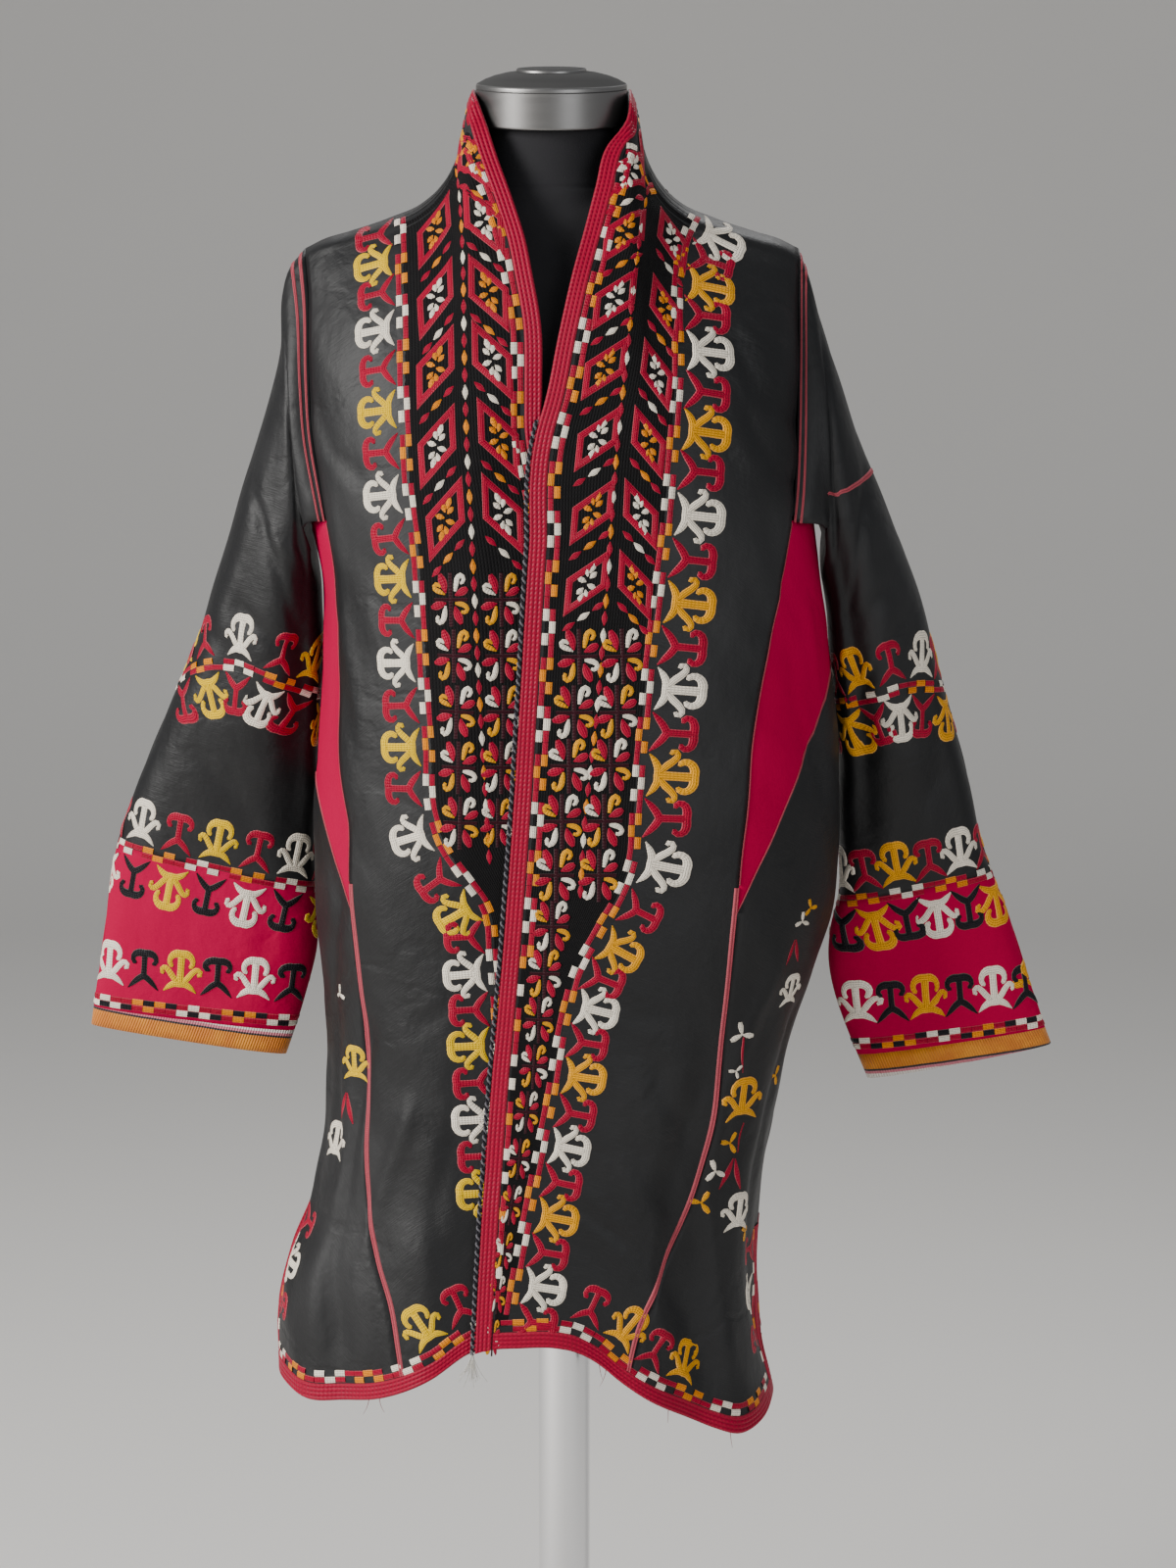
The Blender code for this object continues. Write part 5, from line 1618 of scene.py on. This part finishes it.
def trefoil(thread):
    """Three short petals on a point."""
    return [stroke([(0, 0, 0.8), (9 * math.sin(a) * 0.6, 9 * math.cos(a) * 0.6, 4.4),
                    (9 * math.sin(a), 9 * math.cos(a), 2.6)], thread, 3) for a in (-1.9, 0.0, 1.9)]


STEM = [stroke([(0, 0, 1.4), (1.6, 13, 2.0), (0, 27, 1.0)], "crimson", 4, 0.5)]


def leaves():
    """Two long leaves that part from one point."""
    return both([(0.6, 0, 0.8), (3.4, 9, 4.0), (7.4, 18, 0.8)], "crimson")


print("diamond strokes", len(diamond("white", 1)), "pinwheel strokes", len(pinwheel("white")))

# %% Routes on cloth, and the collector that lays charts on them
class Route:
    """A line on a cloth, read by distance along it in metres."""

    def __init__(self, cloth, u, v):
        self.u, self.v = np.broadcast_arrays(np.asarray(u, float), np.asarray(v, float))
        self.run = run_along(cloth.base(self.u, self.v))
        self.length = self.run[-1]

    def at(self, distance):
        """Place and direction of travel at each distance."""
        reach = 0.002
        u, v = (np.interp(distance, self.run, part) for part in (self.u, self.v))
        du, dv = (np.interp(distance + reach, self.run, part) - np.interp(distance - reach, self.run, part)
                  for part in (self.u, self.v))
        return u, v, du, dv


class Stitching:
    """Collects charts and lays them on one cloth. A chart's across is the way along the route."""

    def __init__(self, cloth, seed):
        self.cloth, self.patches, self.places = cloth, [], []
        self.draw = np.random.default_rng(seed)

    def put(self, figure, u, v, du, dv, size=1.0, upright=False):
        """The direction is the chart's way across, or its way out where upright is set."""
        for s, t, high, at, thread in figure:
            self.patches.append((s * size, t * size, high, at * size, thread))
            self.places.append((float(u), float(v), float(du), float(dv), upright))

    def make(self, name):
        """Builds the mesh: every patch is a grid, and all points are mapped onto the cloth at once."""
        cloth, shapes = self.cloth, [patch[0].shape for patch in self.patches]
        sizes = [rows * columns for rows, columns in shapes]
        u, v, du, dv, upright = np.repeat(np.array(self.places), sizes, axis=0).T
        foot_u, foot_v = cloth.slopes(u, v, cloth.base)
        facing = unit(np.cross(foot_u, foot_v)) * cloth.outward
        ahead = unit(foot_u * du[:, None] + foot_v * dv[:, None])
        right = np.where(upright[:, None] > 0, np.cross(ahead, facing), ahead)
        out = np.cross(facing, right)
        uu, uv, vv = ((a * b).sum(-1) for a, b in ((foot_u, foot_u), (foot_u, foot_v), (foot_v, foot_v)))
        area = uu * vv - uv ** 2
        s, t, high = (np.concatenate([patch[i].reshape(-1) for patch in self.patches]) * MM for i in range(3))
        step = right * s[:, None] + out * t[:, None]
        foot = cloth.base(u, v)
        base = foot
        for _ in range(3):
            left = foot + step - base
            along_u, along_v = (left * foot_u).sum(-1), (left * foot_v).sum(-1)
            u, v = u + (vv * along_u - uv * along_v) / area, v + (uu * along_v - uv * along_u) / area
            base = cloth.base(u, v)
        lift = high + (cloth.creases(u, v) if cloth.creases else 0)
        points = base + cloth.facing(u, v, cloth.base) * lift[:, None]

        mesh = bpy.data.meshes.new(name)
        share = [np.broadcast_to(STROKE_ACROSS, shape).reshape(-1) for shape in shapes]
        run = [np.repeat(patch[3] * MM, shape[1]) for patch, shape in zip(self.patches, shapes)]
        place_grids(mesh, shapes, points, np.stack([np.concatenate(share), np.concatenate(run)], -1))
        tint = self.draw.uniform(0.90, 1.06, len(self.patches))
        thread_colour = np.array([(*np.array(THREADS[patch[4]]) * tint[i], 1) for i, patch in enumerate(self.patches)])
        layer = mesh.color_attributes.new("thread", "FLOAT_COLOR", "POINT")
        layer.data.foreach_set("color", np.repeat(thread_colour, sizes, axis=0).reshape(-1))
        print(f"{name}: {len(self.patches)} strokes, {len(mesh.polygons)} faces")
        return own(finished(mesh, THREAD), "braid")


print("a stroke's grid is", len(STROKE_ACROSS), "points wide")

# %% [markdown]
# ### Checkers, and the two fronts
#
# A line of little blocks runs beside every braid and along the outer side of the pattern. Its repeat is
# eight rows of two columns: three light blocks in a zigzag, with red between. On each front the pattern is a
# wide band beside the opening: bordered diamonds above, pairs of hooks and leaves below, a chain of lens
# shapes down the middle, and large motifs that point outwards from its outer line, round the hem and up the
# slit.

# %% The checker repeat
CHECKER = ("L r", "- L", "L r", "- r", "r L", "L -", "r L", "r -")
CHECKER_ROW = 0.0093
CHECKER_COLUMN = 5.1


def checker(work, route, start=0.0, columns=2, first=0, bare=None):
    """L is a light block, r a red one, and - is left bare, or worked in the thread given as bare."""
    for k in range(int((route.length - start) / CHECKER_ROW)):
        light = "white" if ((k + first) // 4) % 2 == 0 else "amber"
        for column, mark in enumerate(CHECKER[(k + first) % 8].split()[:columns]):
            thread = {"L": light, "r": "crimson", "-": bare}[mark]
            if thread:
                beside_by = (column - (columns - 1) / 2) * CHECKER_COLUMN
                work.put(block(thread, beside_by), *route.at(start + (k + 0.5) * CHECKER_ROW))


# %% Lines of the pattern on the fronts, by level
OUTER = {1: table("""
level  x
1.386  0.1060
1.372  0.0990
1.257  0.0870
1.168  0.0790
1.056  0.0660
0.943  0.0560
0.905  0.0530
0.880  0.0440
0.850  0.0270
0.820  0.0110
0.795  0.0040
0.697  -0.0110
0.571  -0.0280
0.464  -0.0430
"""), -1: table("""
level  x
1.386  -0.1270
1.326  -0.1230
1.259  -0.1210
1.190  -0.1170
1.123  -0.1100
1.055  -0.1070
0.995  -0.1030
0.940  -0.1000
0.915  -0.0910
0.895  -0.0770
0.870  -0.0600
0.828  -0.0540
0.736  -0.0490
0.640  -0.0450
0.560  -0.0420
""")}
CHAIN = {1: table("""
level  x
1.369  0.0660
1.320  0.0580
1.281  0.0520
1.219  0.0420
1.116  0.0340
1.008  0.0250
0.936  0.0170
0.867  0.0130
"""), -1: table("""
level  x
1.381  -0.0830
1.339  -0.0780
1.315  -0.0760
1.257  -0.0740
1.161  -0.0690
1.026  -0.0630
0.898  -0.0560
""")}
DIAMONDS = table("""
side  x       high   light  lean
1     0.0520  1.428  1      -1
1     0.0475  1.384  0      -1
1     0.0400  1.334  1      -1
1     0.0325  1.282  0      -1
1     0.0270  1.229  1      -1
1     0.0230  1.174  0      -1
1     0.0185  1.120  1      -1
1     0.0845  1.380  1      1
1     0.0785  1.327  0      1
1     0.0717  1.277  1      1
1     0.0656  1.226  0      1
1     0.0596  1.172  1      1
1     0.0556  1.118  0      1
-1    -0.0670 1.440  0      1
-1    -0.0600 1.392  1      1
-1    -0.0560 1.339  0      1
-1    -0.0530 1.288  1      1
-1    -0.0480 1.229  0      1
-1    -0.0450 1.172  1      1
-1    -0.0985 1.388  0      -1
-1    -0.0965 1.335  1      -1
-1    -0.0965 1.283  0      -1
-1    -0.0950 1.223  1      -1
-1    -0.0890 1.168  0      -1
""")

# Blocks of four pairs: first is the light thread of the upper left, slim narrows them in the low column.
BLOCKS = table("""
side  x        high   first  slim
1     0.0130   1.064  1      1
1     0.0090   1.021  0      1
1     0.0050   0.980  1      1
1     -0.0005  0.937  0      1
1     -0.0050  0.895  1      1
1     -0.0080  0.855  0      0.92
1     0.0460   1.064  0      1
1     0.0420   1.021  1      1
1     0.0370   0.980  0      1
1     0.0320   0.937  1      1
1     0.0280   0.895  0      0.96
1     -0.0140  0.818  1      0.84
1     -0.0185  0.782  0      0.74
1     -0.0225  0.745  1      0.66
1     -0.0280  0.709  0      0.60
1     -0.0340  0.672  1      0.56
1     -0.0400  0.636  0      0.50
1     -0.0460  0.600  1      0.45
1     -0.0510  0.566  0      0.42
1     -0.0550  0.532  1      0.38
-1    -0.0850  1.107  0      0.94
-1    -0.0830  1.064  1      0.94
-1    -0.0810  1.021  0      0.94
-1    -0.0800  0.978  1      0.94
-1    -0.0790  0.935  0      0.94
-1    -0.0465  1.107  1      0.94
-1    -0.0460  1.064  0      0.94
-1    -0.0450  1.021  1      0.94
-1    -0.0470  0.978  0      0.94
-1    -0.0500  0.935  1      0.80
""")


def front_spot(side, x, high):
    """Angle and level of the place on a front with this x and height."""
    level = np.minimum(high, TOP_LEVEL - 0.01)
    for _ in range(12):
        level = np.minimum(level + high - body(front_angle(x, level), level)[..., 2], TOP_LEVEL - 0.004)
    return front_angle(x, level), level


def down_route(side, rows, top, bottom, shift=0.0):
    """A line down a front, read from a table of x by level."""
    level = np.linspace(top, bottom, 400)
    return Route(FRONT_CLOTH[side], front_angle(read(rows, "level", "x", level) + shift, level), level)


print("diamonds", len(DIAMONDS["x"]))

# %% Stitch the fronts
CHECKER_OUT = 0.0055    # middle of a checker from the braid's inner edge
HEM_LINE = HEM_LEVEL + BRAID_WIDE + CHECKER_OUT
MOTIF_FOOT = 6.0        # a border motif's foot from the middle of its checker, mm


def slit_route(side, behind):
    """The line inside a slit's braid, from the hem up."""
    rows = np.linspace(HEM_LINE, SLIT_TOP + 0.004, 60)
    angle, _ = spread(BODY_CLOTH, side * 90.0 + 0 * rows, side_seam(side, rows, behind), rows,
                      np.array([BRAID_WIDE + CHECKER_OUT]))
    return Route(BODY_CLOTH, angle[:, 0], rows)


def hem_route(cloth, start, stop):
    """The line above the hem's braid, between two angles."""
    angle = np.linspace(start, stop, 400)
    return Route(cloth, angle, HEM_LINE + 0 * angle)


def motif_row(work, route, threads, places, side=1, size=1.0, slim=1.0, foot=MOTIF_FOOT):
    """Border motifs at these distances along a route; side -1 turns them to the route's other side."""
    for k, distance in enumerate(places):
        u, v, du, dv = route.at(distance)
        figure = shaped(motif(threads[k % len(threads)]), slim, 1.0, foot / size)
        work.put(figure, u, v, side * du, side * dv, size)


print("checkers run", CHECKER_OUT, "m inside the braids")

# %% The dark ground and the outer border
LIGHT = {1: "gold", -1: "yellow"}       # the light thread of each side
BORDER_THREADS = {1: ("white", "crimson", "gold", "crimson"), -1: ("crimson", "yellow", "crimson", "white")}
# Distances between one border motif and the next, and how many times each comes.
BORDER_PITCHES = {1: ((0.027, 0.031, 0.0335, 0.0280), (3, 4, 11, 11)),
                  -1: ((0.027, 0.0325, 0.0290), (2, 15, 10))}
INNER_FOOT = {1: 0.82, -1: 1.11}        # level where a front's inner checker stops
TALL_MOTIFS = 17                        # motifs at the top of the left border that are stretched


def dark_ground(side, name):
    """The close black stitching under the pattern, from the edge braid to the outer line."""
    rows = np.linspace(TOP_LEVEL - 0.004, OUTER[side]["level"][-1], 260)
    start = edge_angle(side, rows, BRAID_WIDE + 0.001)
    end = front_angle(read(OUTER[side], "level", "x", rows), rows)
    spots = lane_down(FRONT_CLOTH[side], start, end, rows, 40)
    return own(ribbon("dark_ground_" + name, [spots], BLACK_GROUND, 0.00022, 1), "black_silk")


def stitch_border(work, side):
    """Checkers beside the edge and down the outer line, and the motifs that point out from that line."""
    border = down_route(side, OUTER[side], TOP_LEVEL - 0.006, OUTER[side]["level"][-1])
    checker(work, border)
    inner = down_route(side, EDGE[side], TOP_LEVEL - 0.012, INNER_FOOT[side],
                       side * (BRAID_WIDE + CHECKER_OUT))
    checker(work, inner, first=4)
    if side > 0:
        low = down_route(side, EDGE[side], INNER_FOOT[side] - 0.01, HEM_LINE + 0.012, BRAID_WIDE + 0.0028)
        checker(work, low, columns=1, first=2)
    places = 0.014 + np.pad(np.cumsum(np.repeat(*BORDER_PITCHES[side])), (1, 0))
    for k, distance in enumerate(places[places < border.length - 0.004]):
        u, v, du, dv = border.at(distance)
        tall = 1.0 if side < 0 else 1.2 if k < TALL_MOTIFS else 1.02
        figure = shaped(motif(BORDER_THREADS[side][k % 4]), (0.9 + tall) / 2, tall, MOTIF_FOOT)
        work.put(figure, u, v, side * du, side * dv)


print("steps between border motifs", {side: sum(times) for side, (_, times) in BORDER_PITCHES.items()})

# %% Diamonds, the chain between them, and blocks
DIAMOND_SIZE = {1: (30, 26, 25.5), -1: (36, 30, 29.5)}      # tall, slope, and drop to its lenses, mm
DIAMOND_WIDE, NARROW_DIAMOND = 31.5, 28         # mm; the left front's outer column is the narrow one
LENS_PITCH = 0.0132
LENS_THREADS = ("crimson", "amber", "crimson", "white")


def stitch_diamonds(work, side):
    """Bordered diamonds with three lenses under each, and the chain of lenses down the middle."""
    middle = down_route(side, CHAIN[side], CHAIN[side]["level"][0], CHAIN[side]["level"][-1])
    tall, slope, drop = DIAMOND_SIZE[side]
    for row in rows_by_side(DIAMONDS, side):
        thread = "white" if row["light"] else "amber"
        u, v = front_spot(side, row["x"], row["high"])
        du, dv = middle.at(np.interp(-v, -middle.v, middle.run))[2:]
        wide = NARROW_DIAMOND if side > 0 and row["lean"] == side else DIAMOND_WIDE
        work.put(diamond(thread, row["lean"], wide, tall, slope), u, v, -du, -dv, upright=True)
        for part in (-1, 0, 1):
            s, *rest = stroke(LENS, thread if part == 0 else "crimson", 2.6)
            lens = turned_by([(s + part * wide / 2.3, *rest)], math.atan2(-slope * row["lean"], wide))
            work.put(shaped(lens, foot=-drop), u, v, -du, -dv, upright=True)
    for k in range(int(middle.length / LENS_PITCH)):
        work.put([stroke(LENS, LENS_THREADS[k % 4], 2.4)], *middle.at((k + 0.5) * LENS_PITCH))


def stitch_blocks(work, side):
    """Blocks of four pairs of a hook and a lobe."""
    for row in rows_by_side(BLOCKS, side):
        figure = shaped(pinwheel("white" if row["first"] else "gold"), row["slim"],
                        min(1.0, 0.5 + 0.5 * row["slim"]))
        work.put(figure, *front_spot(side, row["x"], row["high"]), 0, 1, upright=True)


print("lenses every", LENS_PITCH, "m")

# %% Hem and slit of a front
HEM_THREADS = {1: ("crimson", "gold", "crimson", "gold"), -1: ("crimson", "white", "crimson", "yellow")}
HEM_PLACES = {1: (0.066, 0.094, 0.127, 0.161), -1: (0.010, 0.042, 0.078, 0.107)}    # distances along the hem
SLIT_THREADS, SLIT_SIZE = ("crimson", "white", "crimson"), 0.85


def stitch_hem(work, side):
    """Checkers and motifs along the hem and up the slit."""
    slit = slit_route(side, False)
    start = float(edge_angle(side, HEM_LINE, BRAID_WIDE + 0.004))
    hem = hem_route(FRONT_CLOTH[side], start, float(slit.u[0]))
    checker(work, hem, 0.002, first=3)
    checker(work, slit, 0.004, columns=1, first=1)
    motif_row(work, hem, HEM_THREADS[side], HEM_PLACES[side], side, slim=0.85)
    motif_row(work, slit, SLIT_THREADS, (0.040, 0.076, 0.112), side, SLIT_SIZE, foot=SLIT_SIZE * MOTIF_FOOT)


print("hem motifs", sum(len(places) for places in HEM_PLACES.values()))

# %% Sprigs on the gores and loose leaves beside the neck
# Small sprigs on the gores and beside the seams: kind 0 trefoil, 1 tulip, 2 pair of leaves, 3 stem.
SPRIGS = table("""
side  x       high   kind  light  turn  size
1     0.1390  0.764  0     1      10    1.15
1     0.1400  0.762  3     0      184   1.10
1     0.1340  0.735  0     1      200   0.70
1     0.1400  0.692  1     0      0     1.05
1     0.1310  0.675  0     0      -30   1.10
1     0.1430  0.690  3     0      170   0.90
1     0.1190  0.654  0     1      140   1.15
1     0.1350  0.662  2     1      178   1.40
1     0.1080  0.629  0     0      -20   1.15
1     0.1380  0.600  1     1      0     0.95
1     0.1450  0.598  0     0      170   0.90
1     0.1880  0.850  0     1      0     0.90
1     0.1950  0.860  0     0      20    0.90
1     0.1830  0.836  2     1      180   1.10
1     0.1780  0.780  1     1      0     0.80
1     0.1720  0.720  0     0      90    0.90
-1    -0.1780 0.790  0     1      0     0.90
-1    -0.1660 0.722  1     0      0     0.85
-1    -0.1720 0.712  2     1      175   1.30
-1    -0.1850 0.655  1     1      0     0.90
""")

# Loose leaves where the fronts run up beside the neck.
NECK_LEAVES = table("""
side  x        high   light
-1    -0.0790  1.448  0
-1    -0.0775  1.459  1
-1    -0.0765  1.470  0
-1    -0.0750  1.481  1
-1    -0.0725  1.474  0
-1    -0.0720  1.488  0
1     0.0600   1.462  0
1     0.0590   1.474  1
1     0.0560   1.486  0
""")


def stitch_sprigs(work, side):
    """Trefoils, tulips, leaves and stems on the gore."""
    for row in rows_by_side(SPRIGS, side):
        thread = "white" if row["light"] else LIGHT[side]
        figure = (trefoil(thread), tulip(thread), leaves(), STEM)[int(row["kind"])]
        work.put(turned_by(figure, math.radians(row["turn"])), *front_spot(side, row["x"], row["high"]), 1, 0,
                 row["size"])


def stitch_neck_leaves(work, side):
    """Single leaves that lie across the front."""
    for row in rows_by_side(NECK_LEAVES, side):
        leaf = stroke([(-6.5, 0, 1.0), (0, 0, 6.0), (6.5, 0, 1.0)], "gold" if row["light"] else "crimson")
        work.put([leaf], *front_spot(side, row["x"], row["high"]), 0.004 * side, 1)


STITCHES = (stitch_border, stitch_diamonds, stitch_blocks, stitch_hem, stitch_sprigs, stitch_neck_leaves)
STITCHED_ON = {}
for side, name in SIDES:
    ground = dark_ground(side, name)
    work = Stitching(FRONT_CLOTH[side], 11 + side)
    for stitch in STITCHES:
        stitch(work, side)
    STITCHED_ON["front_" + name] = [ground, work.make("stitched_front_" + name)]

# %% [markdown]
# ### Back, collar and sleeves
#
# The back is hidden, so it is finished plainly from what its neighbours show: the hem's border runs round it
# and up the slits, and a shorter border follows the neckline. The collar takes one row of diamonds. On the
# sleeves the motifs stand on rings, away from both sides of a checker, and above the orange edging.

# %% Stitch the back and the collar
def row_places(route, pitch, first):
    """Even distances along a route, about a pitch apart, from this far inside both its ends."""
    return np.linspace(first, route.length - first, int((route.length - 2 * first) / pitch) + 1)


FOUR = ("crimson", "gold", "crimson", "white")
work = Stitching(BODY_CLOTH, 21)
slits = {side: slit_route(side, True) for side, _ in SIDES}
hem = hem_route(BODY_CLOTH, float(slits[1].u[0]), float(slits[-1].u[0]) + 360)
checker(work, hem, 0.004)
motif_row(work, hem, FOUR, row_places(hem, 0.0355, 0.028), 1, 0.95)
for side, slit in slits.items():
    checker(work, slit, 0.004, columns=1, first=1)
    motif_row(work, slit, SLIT_THREADS, row_places(slit, 0.036, 0.040), -side, SLIT_SIZE)
left, right = (float(side_seam(side, TOP_LEVEL, True)) for side in (1, -1))
neck_angle = np.linspace(left + 7, 360 + right - 7, 400)
neck_x = body(neck_angle, TOP_LEVEL + 0 * neck_angle)[:, 0]
neck = Route(BODY_CLOTH, neck_angle, neckline(neck_x) - 0.012 - 0.012 * hump(neck_x, ROBE_X, 0.1, 10))
checker(work, neck)
motif_row(work, neck, FOUR, row_places(neck, 0.034, 0.012), -1)
STITCHED_ON["back"] = [work.make("stitched_back")]

work = Stitching(COLLAR_CLOTH, 23)
around_angle = np.linspace(92, 268, 300)
foot, middle, top = (Route(COLLAR_CLOTH, around_angle, up) for up in (0.07, 0.42, 1 - COLLAR_BRAID - 0.055))
checker(work, foot)
checker(work, top, first=4)
count = int(middle.length / 0.034)
for k in range(count):
    u, v, du, dv = middle.at((k + 0.5) * middle.length / count)
    work.put(diamond(("white", "amber")[k % 2], 1 if k < count / 2 else -1), u, v, du, dv, 0.86)
STITCHED_ON["collar"] = [work.make("stitched_collar")]

# %% Stitch the sleeves
SLEEVE_BANDS = {
    # side: rows of (line, up or down, shift in motifs, threads from the outer edge round by the front)
    -1: (("band", 1, 0.3, ("yellow", "crimson", "white", "crimson")),
         ("band", -1, 0.3, ("crimson", "yellow", "crimson", "white")),
         ("seam", 1, 0.5, ("white", "crimson", "yellow", "crimson")),
         ("seam", -1, 0.5, ("black", "yellow", "black", "white")),
         ("foot", 1, 0.0, ("white", "black", "yellow", "black"))),
    1: (("band", 1, 0.4, ("crimson", "white", "crimson", "gold")),
        ("band", -1, 0.3, ("gold", "crimson", "white", "crimson")),
        ("seam", 1, 0.0, ("crimson", "white", "crimson", "gold")),
        ("seam", -1, 0.0, ("gold", "black", "white", "black")),
        ("foot", 1, 0.0, ("black", "white", "black", "gold"))),
}
RING_MOTIFS = 12        # motifs on every ring of a sleeve
MOTIF_SIZE = {1: 1.12, -1: 1.08}
UPPER_BAND = {-1: (0.375, 0.081, 1), 1: (0.366, 0.078, 2)}      # along, rise to the body, its power


def sleeve_ring_route(side, along, rise=0.0, power=1):
    """A ring round a sleeve, which rises towards the body by this length."""
    turn = np.linspace(0, 1, 500)
    return Route(SLEEVE_CLOTH[side], turn, along - rise * np.sin(math.pi * turn) ** power)


def stitch_sleeve(side, name):
    """The work on a sleeve, and on its crimson cuff."""
    cuff, trim, _ = cuff_lines(side)
    black, red = Stitching(SLEEVE_CLOTH[side], 31 + side), Stitching(SLEEVE_CLOTH[side], 41 + side)
    lines = {"band": UPPER_BAND[side], "seam": (cuff,), "foot": (trim - 0.014,)}
    for kind, up, shift, threads in SLEEVE_BANDS[side]:
        work = red if (kind, up) in (("seam", -1), ("foot", 1)) else black
        route = sleeve_ring_route(side, *lines[kind])
        if kind != "foot" and up > 0:
            checker(work, route)
        places = (np.arange(RING_MOTIFS) + 0.5 + shift) * (route.length / RING_MOTIFS)
        slim = 0.70 if kind == "band" else 0.80
        motif_row(work, route, threads, places, -side * up, MOTIF_SIZE[side], slim)
    checker(red, sleeve_ring_route(side, trim - 0.0065), bare="black")
    STITCHED_ON["sleeve_" + name] = [black.make("stitched_sleeve_" + name)]
    STITCHED_ON["cuff_" + name] = [red.make("stitched_cuff_" + name)]


for side, name in SIDES:
    stitch_sleeve(side, name)

# %% [markdown]
# ## Putting the cloth on the frame
#
# Each sheet rides on the robe's one body and hides the construction's node that it stands for. Its cut size is
# read from a cutting list, and the braids, tapes and embroidery sewn on it are listed, but neither is used.

# %% Cutting list, and the sheets put on the frame
TRIMS_ON = {
    "front_left": [EDGE_BRAID, EDGE_CORD, PALE_PLY, CORD_FRAY, HEM_BRAIDS["front_left"], SEAM_TAPES["left"]],
    "front_right": [HEM_BRAIDS["front_right"], SEAM_TAPES["right"]],
    "back": [HEM_BRAIDS["back"], STRAYS],
    "sleeve_left": [ARMHOLE_TAPES["left"]],
    "sleeve_right": [ARMHOLE_TAPES["right"]],
}
CUTTING_LIST = """
piece             wide   long   area
front_left        0.225  1.040  0.180
front_right       0.210  1.040  0.183
back              0.480  1.000  0.315
gore_front_left   0.240  0.610  0.076
gore_front_right  0.180  0.490  0.053
gore_back_left    0.235  0.610  0.071
gore_back_right   0.170  0.490  0.050
gusset_left       0.210  0.310  0.037
gusset_right      0.180  0.310  0.032
sleeve_left       0.500  0.530  0.128
sleeve_right      0.500  0.515  0.135
cuff_left         0.350  0.139  0.046
cuff_right        0.385  0.139  0.049
cuff_trim_left    0.330  0.021  0.006
cuff_trim_right   0.350  0.021  0.006
collar            0.280  0.105  0.023
"""
cuts = [row.split() for row in CUTTING_LIST.strip().splitlines()[1:]]
for node, wide, long, area in cuts:
    crimson = node in ("gusset_left", "gusset_right", "cuff_left", "cuff_right")
    slot = "orange_trim" if node.startswith("cuff_trim") else "crimson_silk" if crimson else "black_silk"
    sheet = own(SHEETS[node], slot, node)
    TRIMS_ON.get(node, []) + STITCHED_ON.get(node, [])
print("sheets declared", len(cuts))

# %% [markdown]
# ## Studio
#
# The robe stands on a plain pale floor that curves up into a backdrop. A large soft light stands to the
# onlooker's left, so the left of the robe is bright and the right falls towards black; a weak fill and a top
# light keep the folds readable.

# %% Floor and backdrop
def add_backdrop():
    """A floor that turns up into a wall in one soft curve."""
    floor = Finish("pale_floor", roughness=0.85, specular_ior_level=0.2)
    shade = floor.noise(1.2, 2.0)
    floor.set(base_color=floor.mix(shade * 0.3, (0.78, 0.76, 0.73, 1), (0.72, 0.70, 0.67, 1)))
    wide, near, far, bend, tall = 10.0, -7.5, 7.5, 2.5, 8.0
    turn = np.linspace(0, math.pi / 2, 14)
    profile = ([(near, 0.0), (far - bend, 0.0)]
               + [(far - bend + bend * math.sin(a), bend - bend * math.cos(a)) for a in turn[1:]]
               + [(far, tall)])
    across, row = np.meshgrid(np.linspace(-wide, wide, 3), np.arange(len(profile)))
    depth = np.array(profile)[row]
    points = np.stack([across, depth[..., 0], depth[..., 1]], -1)
    piece = lay_grid("backdrop", points, uv_by_length(points), floor.material)


def add_light(name, place, target, size, power, colour):
    lamp = bpy.data.lights.new(name, "AREA")
    lamp.shape, lamp.size, lamp.size_y = "RECTANGLE", size[0], size[1]
    lamp.energy, lamp.color = power, colour
    made = bpy.data.objects.new(name, lamp)
    made.location = place
    made.rotation_euler = (Vector(target) - Vector(place)).to_track_quat("-Z", "Y").to_euler()
    bpy.context.scene.collection.objects.link(made)


add_backdrop()
add_light("key", (-2.8, -1.7, 2.2), (0, 0, 1.0), (1.4, 1.8), 160, (1.0, 0.985, 0.96))
add_light("fill", (1.6, -3.0, 1.6), (0, 0, 0.9), (1.6, 1.6), 26, (0.96, 0.98, 1.0))
add_light("top", (0.3, 1.2, 3.0), (0, 0, 1.1), (1.6, 1.2), 30, (1, 1, 1))
world = bpy.data.worlds.new("studio")
world.use_nodes = True
world.node_tree.nodes["Background"].inputs["Color"].default_value = (0.80, 0.82, 0.85, 1)
world.node_tree.nodes["Background"].inputs["Strength"].default_value = 0.42
bpy.context.scene.world = world

# %% Camera
CAMERA_PLACE = (0.0195, -2.6, 1.264)
LOOKS_DOWN = math.radians(6.86)
camera = bpy.data.cameras.new("camera")
camera.sensor_width, camera.lens = 36, 74.8
seen = bpy.data.objects.new("camera", camera)
seen.location = CAMERA_PLACE
seen.rotation_euler = (math.radians(90) - LOOKS_DOWN, 0, 0)
bpy.context.scene.collection.objects.link(seen)
bpy.context.scene.camera = seen
